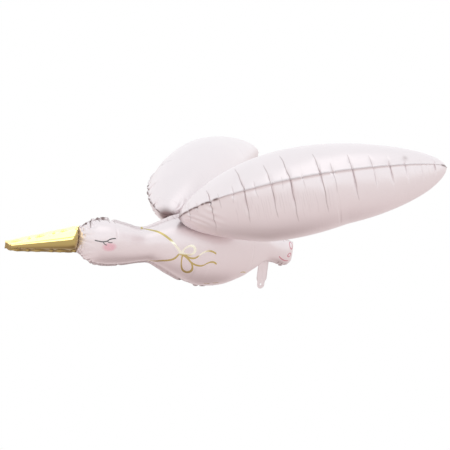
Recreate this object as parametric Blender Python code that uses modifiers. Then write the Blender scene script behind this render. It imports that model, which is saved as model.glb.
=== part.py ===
"""Foil stork balloon: body, beak and two wings, each a cushion of two foil sheets welded at the edge.

The bird is laid out level, beak towards -X and tail towards +X, with the ribbon hole of its filling
tab at the origin, and is then tipped nose up into its flying pose by one empty.
"""
import math
from collections import namedtuple

import bmesh
import bpy
from mathutils import Matrix, Vector

# Foil and welds (metres)
WELD_MARGIN = 0.009
FOIL_EDGE = 0.0012
WELD_GAP = 0.0003
PUCKER_REACH = 0.38
PUCKER_BEND = 0.030

# Body: head, neck, torso and tail in one envelope
BODY_LENGTH = 1.153
BODY_HEIGHT = 0.356
BODY_AXIS_ABOVE_HOLE = 0.167
TAIL_BEHIND_HOLE = 0.168
# A station's place is a share of BODY_LENGTH from the head weld, its seams are shares of BODY_HEIGHT
# above the body's axis, and its fullness is thickness over height.
Station = namedtuple("Station", "place top_seam bottom_seam fullness")
BODY_STATIONS = (
    Station(0.000, 0.174, -0.096, 0.88),
    Station(0.045, 0.262, -0.185, 0.88),
    Station(0.100, 0.281, -0.228, 0.88),
    Station(0.175, 0.225, -0.222, 0.90),
    Station(0.250, 0.184, -0.189, 0.94),
    Station(0.300, 0.233, -0.172, 0.93),
    Station(0.390, 0.355, -0.268, 0.88),
    Station(0.500, 0.455, -0.432, 0.85),
    Station(0.610, 0.478, -0.473, 0.84),
    Station(0.710, 0.430, -0.390, 0.82),
    Station(0.790, 0.318, -0.256, 0.80),
    Station(0.850, 0.222, -0.140, 0.78),
    Station(0.905, 0.172, -0.138, 0.74),
    Station(0.945, 0.172, -0.180, 0.70),
    Station(1.000, 0.138, -0.135, 0.66),
)
HEAD_ROUNDING = 0.075
TAIL_ROUNDING = 0.060
BODY_PUCKERS = 13
BODY_PUCKER_DEPTH = 0.007
BEND_STEP = 0.05

# Beak, welded to the front of the head
BEAK_LENGTH = 0.292
BEAK_TIP_HEIGHT = 0.026
BEAK_DROOP = 0.046
BEAK_FULLNESS = 0.84
BEAK_BASE_ROUNDING = 0.045
BEAK_TIP_ROUNDING = 0.022
BEAK_PUCKERS = 5
BEAK_PUCKER_DEPTH = 0.004

# Wings, leaf shaped, with their root corners on the shoulders
WING_LENGTH = 1.196
WING_LEAD = 0.276
WING_LEAD_SKEW = 0.86
WING_LEAD_BLUNTNESS = 0.58
WING_TRAIL = 0.132
WING_TRAIL_SKEW = 0.616
WING_TRAIL_BLUNTNESS = 0.757
WING_FULLNESS = 0.965
WING_END_FULLNESS = 0.8
WING_SWEEP = math.radians(50.8)
WING_DIHEDRAL = math.radians(29.8)
WING_INCIDENCE = math.radians(-6.0)
WING_ROOT_BEHIND_HEAD = 0.450
WING_ROOT_ANGLE = math.radians(61.4)
WING_ROOT_STANDOFF = 0.011
WING_PUCKERS = 11
WING_PUCKER_DEPTH = 0.009
WING_BODY_CLEARANCE = 0.002
WING_PRESS_DEPTH = 0.030
WING_CENTRE_CLEARANCE = 0.004

# Filling tab with the ribbon hole
TAB_WIDTH = 0.060
TAB_END_WIDTH = 0.043
TAB_THICKNESS = 0.0016
TAB_SHOULDER_ABOVE_HOLE = 0.012
TAB_SHOULDER_DROP = 0.016
TAB_OVERLAP = 0.016
HOLE_DIAMETER = 0.010

# Flying pose
NOSE_UP = math.radians(8.4)

# Mesh density
SAME_PLACE = 1e-6
RINGS_PER_PUCKER = 4
RING_EASING = 0.45
PANEL_COLUMNS = 10
BEAK_COLUMNS = 6
ARC_STEPS = 12

BODY_FRONT = TAIL_BEHIND_HOLE - BODY_LENGTH


def body_curve(place, measure):
    """Read one measure of the body's stations at a place, on a curve that passes through them all."""
    places = [station.place for station in BODY_STATIONS]
    values = [getattr(station, measure) for station in BODY_STATIONS]
    last = len(places) - 1
    place = min(max(place, places[0]), places[-1])
    index = max(i for i in range(last) if places[i] <= place)

    def slope(i):
        low, high = max(i - 1, 0), min(i + 1, last)
        return (values[high] - values[low]) / (places[high] - places[low])

    span = places[index + 1] - places[index]
    t = (place - places[index]) / span
    return (
        (2 * t**3 - 3 * t**2 + 1) * values[index]
        + (t**3 - 2 * t**2 + t) * span * slope(index)
        + (3 * t**2 - 2 * t**3) * values[index + 1]
        + (t**3 - t**2) * span * slope(index + 1)
    )


def end_rounding(distance, radius):
    """A cushion swells from its flat end weld like a quarter of an ellipse."""
    if distance >= radius:
        return 1.0
    return math.sqrt(max(0.0, 1.0 - (1.0 - distance / radius) ** 2))


def pucker(ring, count, edge_share):
    """Sharp creases that cross a seam, with round lobes between them; 1 in a crease, 0 away from it."""
    crease = (1.0 - abs(math.sin(math.pi * ring * count))) ** 2
    return crease * math.exp(-(((1.0 - edge_share) / PUCKER_REACH) ** 2))


def bowed_out(place, seam):
    """How far a stretch of the body's seam bows outward: 1 on the head and belly, 0 along the neck."""
    before, here, after = (body_curve(place + step, seam) for step in (-BEND_STEP, 0.0, BEND_STEP))
    side = 1.0 if seam == "top_seam" else -1.0
    return min(max(side * (2 * here - before - after) / PUCKER_BEND, 0.0), 1.0)


def body_section(x):
    """Axis height, half height and half thickness of the body at a place along the level bird."""
    place = (x - BODY_FRONT) / BODY_LENGTH
    top = body_curve(place, "top_seam") * BODY_HEIGHT
    bottom = body_curve(place, "bottom_seam") * BODY_HEIGHT
    half_height = (top - bottom) / 2
    rounding = end_rounding(x - BODY_FRONT, HEAD_ROUNDING) * end_rounding(
        BODY_FRONT + BODY_LENGTH - x, TAIL_ROUNDING
    )
    half_thickness = half_height * body_curve(place, "fullness") * rounding
    return BODY_AXIS_ABOVE_HOLE + (top + bottom) / 2, half_height, half_thickness


def cross_section(middle, half_width, half_thickness, across, dent):
    """Place and bulge of a point on one sheet's cross section, drawn in where a crease runs."""
    angle = (1.0 - across) * math.pi / 2
    drawn_in = 1.0 - dent / half_width
    place = middle + half_width * math.cos(angle) * drawn_in
    return place, max(half_thickness * math.sin(angle) * drawn_in, FOIL_EDGE / 2)


def body_point(ring, across):
    """A point of the body's left sheet; across runs from 1 at the top seam to -1 at the bottom."""
    x = BODY_FRONT + ring * BODY_LENGTH
    middle, half_height, half_thickness = body_section(x)
    bow = bowed_out(ring, "top_seam" if across > 0 else "bottom_seam")
    dent = BODY_PUCKER_DEPTH * bow * pucker(ring, BODY_PUCKERS, abs(across))
    height, bulge = cross_section(middle, half_height, half_thickness, across, dent)
    return Vector((x, -bulge, height))


def beak_point(ring, across):
    """A point of the beak's left sheet, which starts at the head weld and shares its height."""
    x = BODY_FRONT - WELD_GAP - ring * BEAK_LENGTH
    base_middle, base_half, _ = body_section(BODY_FRONT)
    middle = base_middle - BEAK_DROOP * ring
    half_height = base_half + (BEAK_TIP_HEIGHT / 2 - base_half) * ring
    rounding = end_rounding(ring * BEAK_LENGTH, BEAK_BASE_ROUNDING) * end_rounding(
        (1.0 - ring) * BEAK_LENGTH, BEAK_TIP_ROUNDING
    )
    dent = BEAK_PUCKER_DEPTH * pucker(ring, BEAK_PUCKERS, abs(across)) if 0 < ring < 1 else 0.0
    height, bulge = cross_section(
        middle, half_height, half_height * BEAK_FULLNESS * rounding, across, dent
    )
    return Vector((x, -bulge, height))


def wing_point(ring, across):
    """A point of a wing's upper sheet: X from root to tip, Y from the trailing to the leading seam."""
    along = end_eased(ring)
    if not 0 < along < 1:
        return Vector((along * WING_LENGTH, 0.0, FOIL_EDGE / 2))
    lead = WING_LEAD * math.sin(math.pi * along**WING_LEAD_SKEW) ** WING_LEAD_BLUNTNESS
    trail = -WING_TRAIL * math.sin(math.pi * along**WING_TRAIL_SKEW) ** WING_TRAIL_BLUNTNESS
    half_chord = (lead - trail) / 2
    swell = WING_END_FULLNESS + (1.0 - WING_END_FULLNESS) * math.sin(math.pi * along)
    half_thickness = half_chord * WING_FULLNESS * swell
    dent = WING_PUCKER_DEPTH * pucker(ring, WING_PUCKERS, abs(across))
    place, bulge = cross_section((lead + trail) / 2, half_chord, half_thickness, across, dent)
    return Vector((along * WING_LENGTH, place, bulge))


def end_eased(t):
    """Spread rings closer together at both ends of a leaf."""
    return (1.0 - RING_EASING) * t + RING_EASING * (1.0 - math.cos(math.pi * t)) / 2


def seam_edges(bm, flush_x):
    """Open edges that get a weld margin: all of them but those of a sheet's end weld."""
    return [
        edge
        for edge in bm.edges
        if edge.is_boundary
        and not (flush_x is not None and all(abs(v.co.x - flush_x) < SAME_PLACE for v in edge.verts))
    ]


def outward_directions(edges):
    """The direction away from the sheet in the seam's plane, at each corner of the seam."""
    pull = {}
    for edge in edges:
        face = edge.link_faces[0]
        middle = (edge.verts[0].co + edge.verts[1].co) / 2
        along = (edge.verts[1].co - edge.verts[0].co).normalized()
        away = middle - face.calc_center_median()
        away -= along * away.dot(along)
        for vert in edge.verts:
            pull.setdefault(vert, []).append(away)
    return pull


def add_weld_margin(bm, normal_axis, flush_x=None):
    """Run the flat weld margin along the seam and close the sheet's edge down to the seam's plane."""
    edges = seam_edges(bm, flush_x)
    places = {}
    for vert, pulls in outward_directions(edges).items():
        total = Vector()
        for away in pulls:
            away[normal_axis] = 0.0
            total += away.normalized()
        if flush_x is not None and abs(vert.co.x - flush_x) < SAME_PLACE:
            total.x = 0.0
        places[vert.co.copy().freeze()] = total.normalized()
    grown = bmesh.ops.extrude_edge_only(bm, edges=edges)["geom"]
    for vert in (item for item in grown if isinstance(item, bmesh.types.BMVert)):
        vert.co += places[vert.co.copy().freeze()] * WELD_MARGIN
    rim = [edge for edge in bm.edges if edge.is_boundary]
    closed = bmesh.ops.extrude_edge_only(bm, edges=rim)["geom"]
    for vert in (item for item in closed if isinstance(item, bmesh.types.BMVert)):
        vert.co[normal_axis] = 0.0


def cushion(name, point, puckers, columns, normal_axis, material, flush_x=None):
    """An inflated cushion: one sheet shaped from a grid, given its weld margin and mirrored."""
    bm = bmesh.new()
    rings = puckers * RINGS_PER_PUCKER
    bmesh.ops.create_grid(bm, x_segments=rings, y_segments=columns, size=0.5)
    for vert in bm.verts:
        ring = round((vert.co.x + 0.5) * rings) / rings
        column = round((vert.co.y + 0.5) * columns) / columns
        vert.co = point(ring, 2 * column - 1.0)
    bmesh.ops.remove_doubles(bm, verts=bm.verts, dist=10 * SAME_PLACE)
    add_weld_margin(bm, normal_axis, flush_x)
    for face in bm.faces:
        face.smooth = True
    bmesh.ops.recalc_face_normals(bm, faces=bm.faces)
    mesh = bpy.data.meshes.new(name)
    bm.to_mesh(mesh)
    bm.free()
    mesh.materials.append(material)
    return bpy.data.objects.new(name, mesh)


def face_outward(bm):
    """Turn a closed shell's faces outward."""
    bmesh.ops.recalc_face_normals(bm, faces=bm.faces)
    if bm.calc_volume(signed=True) < 0:
        bmesh.ops.reverse_faces(bm, faces=bm.faces)


def mirror_sheet(item, axis):
    """Add the second sheet on the other side of the seam's plane."""
    mirror = item.modifiers.new("second_sheet", "MIRROR")
    mirror.use_axis = [index == axis for index in range(3)]
    mirror.merge_threshold = 0.0001


def apply_modifiers(item):
    """Swap an object's mesh for its evaluated one."""
    bpy.context.view_layer.update()
    evaluated = item.evaluated_get(bpy.context.evaluated_depsgraph_get())
    mesh = bpy.data.meshes.new_from_object(evaluated)
    item.modifiers.clear()
    item.data = mesh
    mesh.name = item.name


def press_against_body(point):
    """Hold a point of a wing clear of the body it rests on, and on its own side of the bird."""
    side = 1.0 if point.y > 0 else -1.0
    if BODY_FRONT < point.x < BODY_FRONT + BODY_LENGTH:
        middle, half_height, half_thickness = body_section(point.x)
        reach = math.hypot((point.z - middle) / half_height, point.y / half_thickness)
        floor = 1.0 + WING_BODY_CLEARANCE / half_thickness
        soft = WING_PRESS_DEPTH / half_thickness
        if reach < floor + soft:
            pressed = floor + soft * math.exp((reach - floor - soft) / soft)
            point.y *= pressed / reach
            point.z = middle + (point.z - middle) * pressed / reach
    nearest = WING_CENTRE_CLEARANCE
    if abs(point.y) < 2 * nearest:
        point.y = side * nearest * (1.0 + math.exp((abs(point.y) - 2 * nearest) / nearest))
    return point


def wing_matrix(side):
    """Lay a wing out from its root corner: swept back, raised to its dihedral, leading seam forward."""
    shoulder = BODY_FRONT + WING_ROOT_BEHIND_HEAD
    middle, half_height, half_thickness = body_section(shoulder)
    reach = 1.0 + WING_ROOT_STANDOFF / half_thickness
    root = Vector(
        (
            shoulder,
            side * half_thickness * reach * math.cos(WING_ROOT_ANGLE),
            middle + half_height * reach * math.sin(WING_ROOT_ANGLE),
        )
    )
    outward = Vector((0.0, side * math.cos(WING_DIHEDRAL), math.sin(WING_DIHEDRAL)))
    rearward = Vector((1.0, 0.0, 0.0))
    length = rearward * math.sin(WING_SWEEP) + outward * math.cos(WING_SWEEP)
    lead = outward * math.sin(WING_SWEEP) - rearward * math.cos(WING_SWEEP)
    lead = Matrix.Rotation(side * WING_INCIDENCE, 3, length) @ lead
    upper = length.cross(lead) * side * -1.0
    placed = Matrix((length, lead, upper)).transposed().to_4x4()
    placed.translation = root
    return placed


def make_wing(name, side, material):
    """One wing, in the bird's level frame and pressed against the body."""
    wing = cushion(name, wing_point, WING_PUCKERS, PANEL_COLUMNS, 2, material)
    mirror_sheet(wing, 2)
    bpy.context.scene.collection.objects.link(wing)
    apply_modifiers(wing)
    bpy.context.scene.collection.objects.unlink(wing)
    placed = wing_matrix(side)
    bm = bmesh.new()
    bm.from_mesh(wing.data)
    for vert in bm.verts:
        vert.co = press_against_body(placed @ vert.co)
    face_outward(bm)
    bm.to_mesh(wing.data)
    bm.free()
    return wing


def tab_outline():
    """Corners of the filling tab: straight sides, small shoulders and a round end about the hole."""
    radius = TAB_END_WIDTH / 2
    top = body_seam_below(0.0) + TAB_OVERLAP
    shoulder_low = TAB_SHOULDER_ABOVE_HOLE
    shoulder_high = TAB_SHOULDER_ABOVE_HOLE + TAB_SHOULDER_DROP
    corners = [(TAB_WIDTH / 2, top), (TAB_WIDTH / 2, shoulder_high), (radius, shoulder_low)]
    for step in range(ARC_STEPS + 1):
        angle = -math.pi * step / ARC_STEPS
        corners.append((radius * math.cos(angle), radius * math.sin(angle)))
    corners += [(-radius, shoulder_low), (-TAB_WIDTH / 2, shoulder_high), (-TAB_WIDTH / 2, top)]
    return corners


def body_seam_below(x):
    """Height of the body's bottom seam at a place along the bird."""
    middle, half_height, _ = body_section(x)
    return middle - half_height


def make_tab(material):
    """The flat filling tab as a plate with its ribbon hole, standing in the seam's plane."""
    curve = bpy.data.curves.new("filling_tab", "CURVE")
    curve.dimensions = "2D"
    curve.fill_mode = "BOTH"
    curve.extrude = TAB_THICKNESS / 2
    turns = [math.pi * step / ARC_STEPS for step in range(2 * ARC_STEPS)]
    radius = HOLE_DIAMETER / 2
    hole = [(radius * math.cos(turn), radius * math.sin(turn)) for turn in turns]
    for outline in (tab_outline(), hole):
        spline = curve.splines.new("POLY")
        spline.points.add(len(outline) - 1)
        for point, (x, z) in zip(spline.points, outline):
            point.co = (x, z, 0.0, 1.0)
        spline.use_cyclic_u = True
    flat = bpy.data.objects.new("filling_tab_outline", curve)
    flat.matrix_world = Matrix.Rotation(math.pi / 2, 4, "X")
    bpy.context.scene.collection.objects.link(flat)
    bpy.context.view_layer.update()
    evaluated = flat.evaluated_get(bpy.context.evaluated_depsgraph_get())
    mesh = bpy.data.meshes.new_from_object(evaluated)
    bm = bmesh.new()
    bm.from_mesh(mesh)
    bmesh.ops.remove_doubles(bm, verts=bm.verts, dist=SAME_PLACE)
    bmesh.ops.transform(bm, matrix=flat.matrix_world, verts=bm.verts)
    face_outward(bm)
    bm.to_mesh(mesh)
    bm.free()
    bpy.data.objects.remove(flat)
    tab = bpy.data.objects.new("filling_tab", mesh)
    mesh.materials.append(material)
    return tab


def foil(name, colour, roughness, metallic):
    """A foil finish as a Principled material."""
    material = bpy.data.materials.new(name)
    material.use_nodes = True
    shader = material.node_tree.nodes["Principled BSDF"]
    shader.inputs["Base Color"].default_value = (*colour, 1.0)
    shader.inputs["Roughness"].default_value = roughness
    shader.inputs["Metallic"].default_value = metallic
    return material


def clear_scene():
    """Start from an empty scene."""
    for item in list(bpy.data.objects):
        bpy.data.objects.remove(item)


def new_collection(name):
    """A collection linked to the scene."""
    collection = bpy.data.collections.new(name)
    bpy.context.scene.collection.children.link(collection)
    return collection


def build():
    """Make every piece and tip the bird into its flying pose."""
    clear_scene()
    parts = new_collection("foil_stork_balloon")
    cutters = new_collection("cutters")
    pink = foil("pale_pink_foil", (0.86, 0.74, 0.74), 0.35, 0.25)
    gold = foil("gold_foil", (0.83, 0.64, 0.28), 0.18, 1.0)

    body = cushion("body", body_point, BODY_PUCKERS, PANEL_COLUMNS, 1, pink, flush_x=BODY_FRONT)
    mirror_sheet(body, 1)
    tab = make_tab(pink)
    tab.hide_render = True
    tab.display_type = "WIRE"
    cutters.objects.link(tab)
    join = body.modifiers.new("filling_tab", "BOOLEAN")
    join.operation = "UNION"
    join.object = tab

    beak = cushion(
        "beak", beak_point, BEAK_PUCKERS, BEAK_COLUMNS, 1, gold, flush_x=BODY_FRONT - WELD_GAP
    )
    mirror_sheet(beak, 1)
    pieces = [body, beak, make_wing("left_wing", -1.0, pink), make_wing("right_wing", 1.0, pink)]

    pose = bpy.data.objects.new("flying_pose", None)
    pose.rotation_euler.y = NOSE_UP
    parts.objects.link(pose)
    for piece in pieces:
        parts.objects.link(piece)
        piece.parent = pose
    tab.parent = pose
    bpy.context.view_layer.update()


build()
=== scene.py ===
"""Foil stork balloon: the creased and printed foil skins of the bird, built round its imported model."""
import math

import bmesh
import bpy
import numpy as np
from bpy.props import FloatProperty, FloatVectorProperty, IntProperty, PointerProperty
from mathutils import Matrix, Vector


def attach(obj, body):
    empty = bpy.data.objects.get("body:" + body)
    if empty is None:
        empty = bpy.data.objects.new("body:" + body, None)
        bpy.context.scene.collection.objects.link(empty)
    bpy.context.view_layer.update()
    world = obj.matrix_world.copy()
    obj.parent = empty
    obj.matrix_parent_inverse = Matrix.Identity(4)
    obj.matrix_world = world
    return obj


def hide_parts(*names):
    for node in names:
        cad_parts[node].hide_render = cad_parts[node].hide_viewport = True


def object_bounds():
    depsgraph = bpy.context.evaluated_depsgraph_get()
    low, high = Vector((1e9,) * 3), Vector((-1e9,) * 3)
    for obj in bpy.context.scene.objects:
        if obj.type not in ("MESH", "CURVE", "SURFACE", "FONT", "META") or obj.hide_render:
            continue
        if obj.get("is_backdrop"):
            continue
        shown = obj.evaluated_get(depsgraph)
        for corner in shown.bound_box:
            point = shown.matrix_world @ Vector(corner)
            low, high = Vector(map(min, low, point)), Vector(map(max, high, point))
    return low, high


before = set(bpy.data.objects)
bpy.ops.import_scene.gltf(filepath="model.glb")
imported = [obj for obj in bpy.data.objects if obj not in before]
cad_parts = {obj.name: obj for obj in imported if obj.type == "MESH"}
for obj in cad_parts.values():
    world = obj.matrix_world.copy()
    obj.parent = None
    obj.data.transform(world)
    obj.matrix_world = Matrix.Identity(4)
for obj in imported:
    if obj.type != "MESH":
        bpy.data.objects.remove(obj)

CAD_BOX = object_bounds()

bl_info = {
    "name": "Foil Stork Balloon",
    "version": (1, 0, 0),
    "blender": (4, 5, 0),
    "location": "3D View > Sidebar > Balloon",
    "description": "Inflated foil stork with a gold foil beak, welded seams, creases and printed ribbon",
    "category": "Object",
}

# Body outline, close to the part's: place, top seam, bottom seam, fullness.
# The place is a share of the body's length, the seams are shares of its height above its axis.
STATIONS = np.array([
    (0.000, 0.148, -0.118, 0.88),
    (0.045, 0.242, -0.230, 0.88),
    (0.100, 0.268, -0.262, 0.88),
    (0.175, 0.225, -0.252, 0.90),
    (0.250, 0.184, -0.214, 0.94),
    (0.300, 0.233, -0.206, 0.93),
    (0.390, 0.355, -0.332, 0.88),
    (0.500, 0.455, -0.478, 0.85),
    (0.610, 0.478, -0.480, 0.84),
    (0.710, 0.430, -0.378, 0.82),
    (0.790, 0.318, -0.244, 0.80),
    (0.850, 0.222, -0.138, 0.78),
    (0.905, 0.172, -0.138, 0.74),
    (0.945, 0.172, -0.180, 0.70),
    (1.000, 0.138, -0.135, 0.66),
])
# Columns of the stations
TOP_SEAM, BOTTOM_SEAM, FULLNESS = 1, 2, 3
# Step over which a seam's bend is read, and the bend that counts as a full one
BEND_STEP = 0.05
STRONG_BEND = 0.030

NOSE_UP = math.radians(8.4)
TO_WORLD = np.array(Matrix.Rotation(NOSE_UP, 3, "Y"))

# Points closer than this are one point
SAME_PLACE = 1e-6

# Finest steps of the section curves, and how strongly rings crowd towards a cushion's ends
ARC_STEPS = 96
RING_EASING = 0.45

# Section shape of the body, and of a wing at its root; the wing's becomes an ellipse by LENS_ENDS
BODY_EDGE = 0.43
ELLIPSE_EDGE = 0.5
LENS_EDGE = 0.74
LENS_ENDS = 0.55
# Places along a wing, and the second sheet's share of the thickness there
UNDER_SHARE = ((0.0, 0.30, 0.60, 0.92, 1.0), (0.78, 1.0, 1.0, 1.30, 1.30))

# Wide creases: width of their ends as a share, and the swell of the foil beside them
CREASE_END_WIDTH = 0.35
CREASE_SWELL = 0.10
SWELL_PLACE = 1.3
# How far the creases of an end weld are turned on the second sheet
SECOND_SHEET_TURN = 0.37
# Least half height of a section that creases are measured against
LEAST_HALF = 0.012

# Narrow folds: how they wander, how they begin off a seam, and the raised lip beside them
FOLD_WOBBLE = 0.0012
WOBBLE_TURNS = 70.0
WOBBLE_START = 900.0
FOLD_RUN_IN = 0.012
FOLD_FADE = 0.28
FOLD_LIP = 0.35
LIP_PLACE = 1.7
LIP_SHARPNESS = 1.4
# Depth of fold whose painted shade is fully dark
FOLD_DARKEST = 0.0011

# Inflation: steps, passes over the foil's cells in each step, and the share of speed that is kept
FULL_STEPS = 240
ROUNDS = 3
SPEED_KEPT = 0.96
# Least area of foil that pressure acts on at a point, as a share of the mean
LEAST_AREA = 0.2
# Depth of crease at which the foil has lost most of its stiffness
CREASE_START = 0.0008
# How strongly a seam is held near its start, as a share of the hold on a sheet's crown, and how
# much of the foil's stiffness evens it out across its sheets
SEAM_GUIDE = 0.25
EVEN_ACROSS = 0.5

# Passes that smooth the directions of a weld margin, and the waves of a crimped margin along it
WELD_SMOOTHING = 14
CRIMP_TURNS = 260.0
CRIMP_DRIFT = 1.3
DRIFT_TURNS = 61.0


class FoilSettings(bpy.types.PropertyGroup):
    """The foil, its welds and its finish."""

    margin: FloatProperty(name="Weld margin", description="Width of the flat weld round each cushion",
                          default=0.009, unit="LENGTH")
    edge: FloatProperty(name="Weld thickness", description="Thickness of the welded edge",
                        default=0.0012, unit="LENGTH")
    gap: FloatProperty(name="Weld gap", description="Gap between the beak and the head weld",
                       default=0.0003, unit="LENGTH")
    pink: FloatVectorProperty(name="Pink foil", description="Colour of the satin pink foil",
                              default=(0.88, 0.775, 0.785), subtype="COLOR")
    pale: FloatVectorProperty(name="Wing foil", description="Colour of the foil of the wings and tab",
                              default=(0.877, 0.780, 0.790), subtype="COLOR")
    gold: FloatVectorProperty(name="Gold foil", description="Colour of the gold foil of the beak",
                              default=(0.52, 0.38, 0.09), subtype="COLOR")


class BodySettings(bpy.types.PropertyGroup):
    """The body envelope and its filling tab."""

    length: FloatProperty(name="Length", description="Head weld to tail weld", default=1.153, unit="LENGTH")
    height: FloatProperty(name="Height", description="Height that the outline is a share of",
                          default=0.356, unit="LENGTH")
    axis_height: FloatProperty(name="Axis height", description="Body axis above the ribbon hole",
                               default=0.167, unit="LENGTH")
    tail: FloatProperty(name="Tail", description="Tail weld behind the ribbon hole",
                        default=0.168, unit="LENGTH")
    head_rounding: FloatProperty(name="Head rounding", description="How far the head swells from its weld",
                                 default=0.075, unit="LENGTH")
    tail_rounding: FloatProperty(name="Tail rounding", description="How far the tail swells from its weld",
                                 default=0.060, unit="LENGTH")
    tail_tuck: FloatProperty(name="Tail tuck", description="Radius of the tail's lower corner",
                             default=0.026, unit="LENGTH")
    sag: FloatProperty(name="Sag", description="Foil that the creases of the lower seam take up",
                       default=0.002, unit="LENGTH")
    rings: IntProperty(name="Rings", description="Rings of foil cells along the body", default=256)
    columns: IntProperty(name="Columns", description="Columns of foil cells on each sheet", default=44)


class TabSettings(bpy.types.PropertyGroup):
    """The flat filling tab with its ribbon hole."""

    width: FloatProperty(name="Width", description="Width of the tab", default=0.060, unit="LENGTH")
    end_width: FloatProperty(name="End width", description="Width of its round end",
                             default=0.043, unit="LENGTH")
    shoulder: FloatProperty(name="Shoulder", description="Foot of the shoulders above the hole",
                            default=0.012, unit="LENGTH")
    drop: FloatProperty(name="Shoulder drop", description="Height of the shoulders",
                        default=0.016, unit="LENGTH")
    overlap: FloatProperty(name="Overlap", description="How far the tab runs up between the body's sheets",
                           default=0.016, unit="LENGTH")
    hole: FloatProperty(name="Ribbon hole", description="Diameter of the ribbon hole",
                        default=0.010, unit="LENGTH")


class BeakSettings(bpy.types.PropertyGroup):
    """The gold beak."""

    length: FloatProperty(name="Length", description="Head weld to tip", default=0.297, unit="LENGTH")
    tip: FloatProperty(name="Tip height", description="Height of the beak just before its tip",
                       default=0.024, unit="LENGTH")
    tip_tuck: FloatProperty(name="Tip tuck", description="How far the lower seam rises at the tip",
                            default=0.010, unit="LENGTH")
    droop: FloatProperty(name="Droop", description="How far the tip lies below the head weld",
                         default=0.044, unit="LENGTH")
    fullness: FloatProperty(name="Fullness", description="Thickness over height", default=0.84)
    base_rounding: FloatProperty(name="Base rounding", description="How far the beak swells from the head",
                                 default=0.045, unit="LENGTH")
    tip_rounding: FloatProperty(name="Tip rounding", description="How far the beak swells from its tip",
                                default=0.022, unit="LENGTH")
    rings: IntProperty(name="Rings", description="Rings of foil cells along the beak", default=112)
    columns: IntProperty(name="Columns", description="Columns of foil cells on each sheet", default=24)


class WingSettings(bpy.types.PropertyGroup):
    """One wing; the other is set up the same way on the other side."""

    length: FloatProperty(name="Length", description="Root corner to tip", default=1.196, unit="LENGTH")
    lead: FloatProperty(name="Leading bow", description="Leading seam ahead of the root line",
                        default=0.276, unit="LENGTH")
    lead_skew: FloatProperty(name="Leading skew", description="Moves the leading bow along", default=0.86)
    lead_bluntness: FloatProperty(name="Leading bluntness", description="Lower is blunter", default=0.58)
    trail: FloatProperty(name="Trailing bow", description="Trailing seam behind the root line",
                         default=0.132, unit="LENGTH")
    trail_skew: FloatProperty(name="Trailing skew", description="Moves the trailing bow along", default=0.616)
    trail_bluntness: FloatProperty(name="Trailing bluntness", description="Lower is blunter", default=0.757)
    fullness: FloatProperty(name="Fullness", description="Thickness over chord at mid wing", default=0.965)
    root_fullness: FloatProperty(name="Root fullness", description="Share of the fullness at the root",
                                 default=0.78)
    tip_fullness: FloatProperty(name="Tip fullness", description="Share of the fullness at the tip",
                                default=1.0)
    sweep: FloatProperty(name="Sweep", description="Wing swept back", default=math.radians(50.8),
                         subtype="ANGLE")
    dihedral: FloatProperty(name="Dihedral", description="Wing raised", default=math.radians(29.8),
                            subtype="ANGLE")
    incidence: FloatProperty(name="Incidence", description="Wing twisted about its length",
                             default=math.radians(-6.0), subtype="ANGLE")
    root: FloatProperty(name="Root", description="Root corner behind the head weld",
                        default=0.450, unit="LENGTH")
    root_angle: FloatProperty(name="Root angle", description="Root corner up the side of the body",
                              default=math.radians(61.4), subtype="ANGLE")
    root_standoff: FloatProperty(name="Root standoff", description="Root corner clear of the body",
                                 default=0.011, unit="LENGTH")
    clearance: FloatProperty(name="Clearance", description="Foil of the wing clear of the body",
                             default=0.002, unit="LENGTH")
    press: FloatProperty(name="Press depth", description="How softly the wing bends round the body",
                         default=0.030, unit="LENGTH")
    centre: FloatProperty(name="Centre clearance", description="Each wing clear of the middle plane",
                          default=0.004, unit="LENGTH")
    rings: IntProperty(name="Rings", description="Rings of foil cells along the wing", default=240)
    columns: IntProperty(name="Columns", description="Columns of foil cells on each sheet", default=48)


class StageSettings(bpy.types.PropertyGroup):
    """Camera, floor and lights."""

    camera_place: FloatVectorProperty(name="Camera place", description="Where the camera stands",
                                      default=(-2.169, -3.016, 0.852), subtype="TRANSLATION")
    camera_back: FloatVectorProperty(name="Camera direction", description="From the bird to the camera",
                                     default=(-0.5386, -0.8294, 0.1483), subtype="DIRECTION")
    lens: FloatProperty(name="Lens", description="Focal length in millimetres", default=61.5)
    floor: FloatProperty(name="Floor height", description="Floor below the ribbon hole",
                         default=-1.5, unit="LENGTH")


def body_settings():
    return bpy.context.scene.stork_body


def foil_settings():
    return bpy.context.scene.stork_foil


# Outlines

def station_curve(place, measure):
    """A smooth curve through one measure of the body's stations, read at many places."""
    places, values = STATIONS[:, 0], STATIONS[:, measure]
    slopes = np.empty_like(values)
    slopes[1:-1] = (values[2:] - values[:-2]) / (places[2:] - places[:-2])
    slopes[0] = (values[1] - values[0]) / (places[1] - places[0])
    slopes[-1] = (values[-1] - values[-2]) / (places[-1] - places[-2])
    place = np.clip(place, places[0], places[-1])
    index = np.clip(np.searchsorted(places, place, side="right") - 1, 0, len(places) - 2)
    span = places[index + 1] - places[index]
    t = (place - places[index]) / span
    return (
        (2 * t**3 - 3 * t**2 + 1) * values[index]
        + (t**3 - 2 * t**2 + t) * span * slopes[index]
        + (3 * t**2 - 2 * t**3) * values[index + 1]
        + (t**3 - t**2) * span * slopes[index + 1]
    )


def rounding(distance, radius):
    """A cushion swells from a flat end weld like a quarter of an ellipse."""
    return np.sqrt(1.0 - (1.0 - np.clip(distance / radius, 0.0, 1.0)) ** 2)


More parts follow.
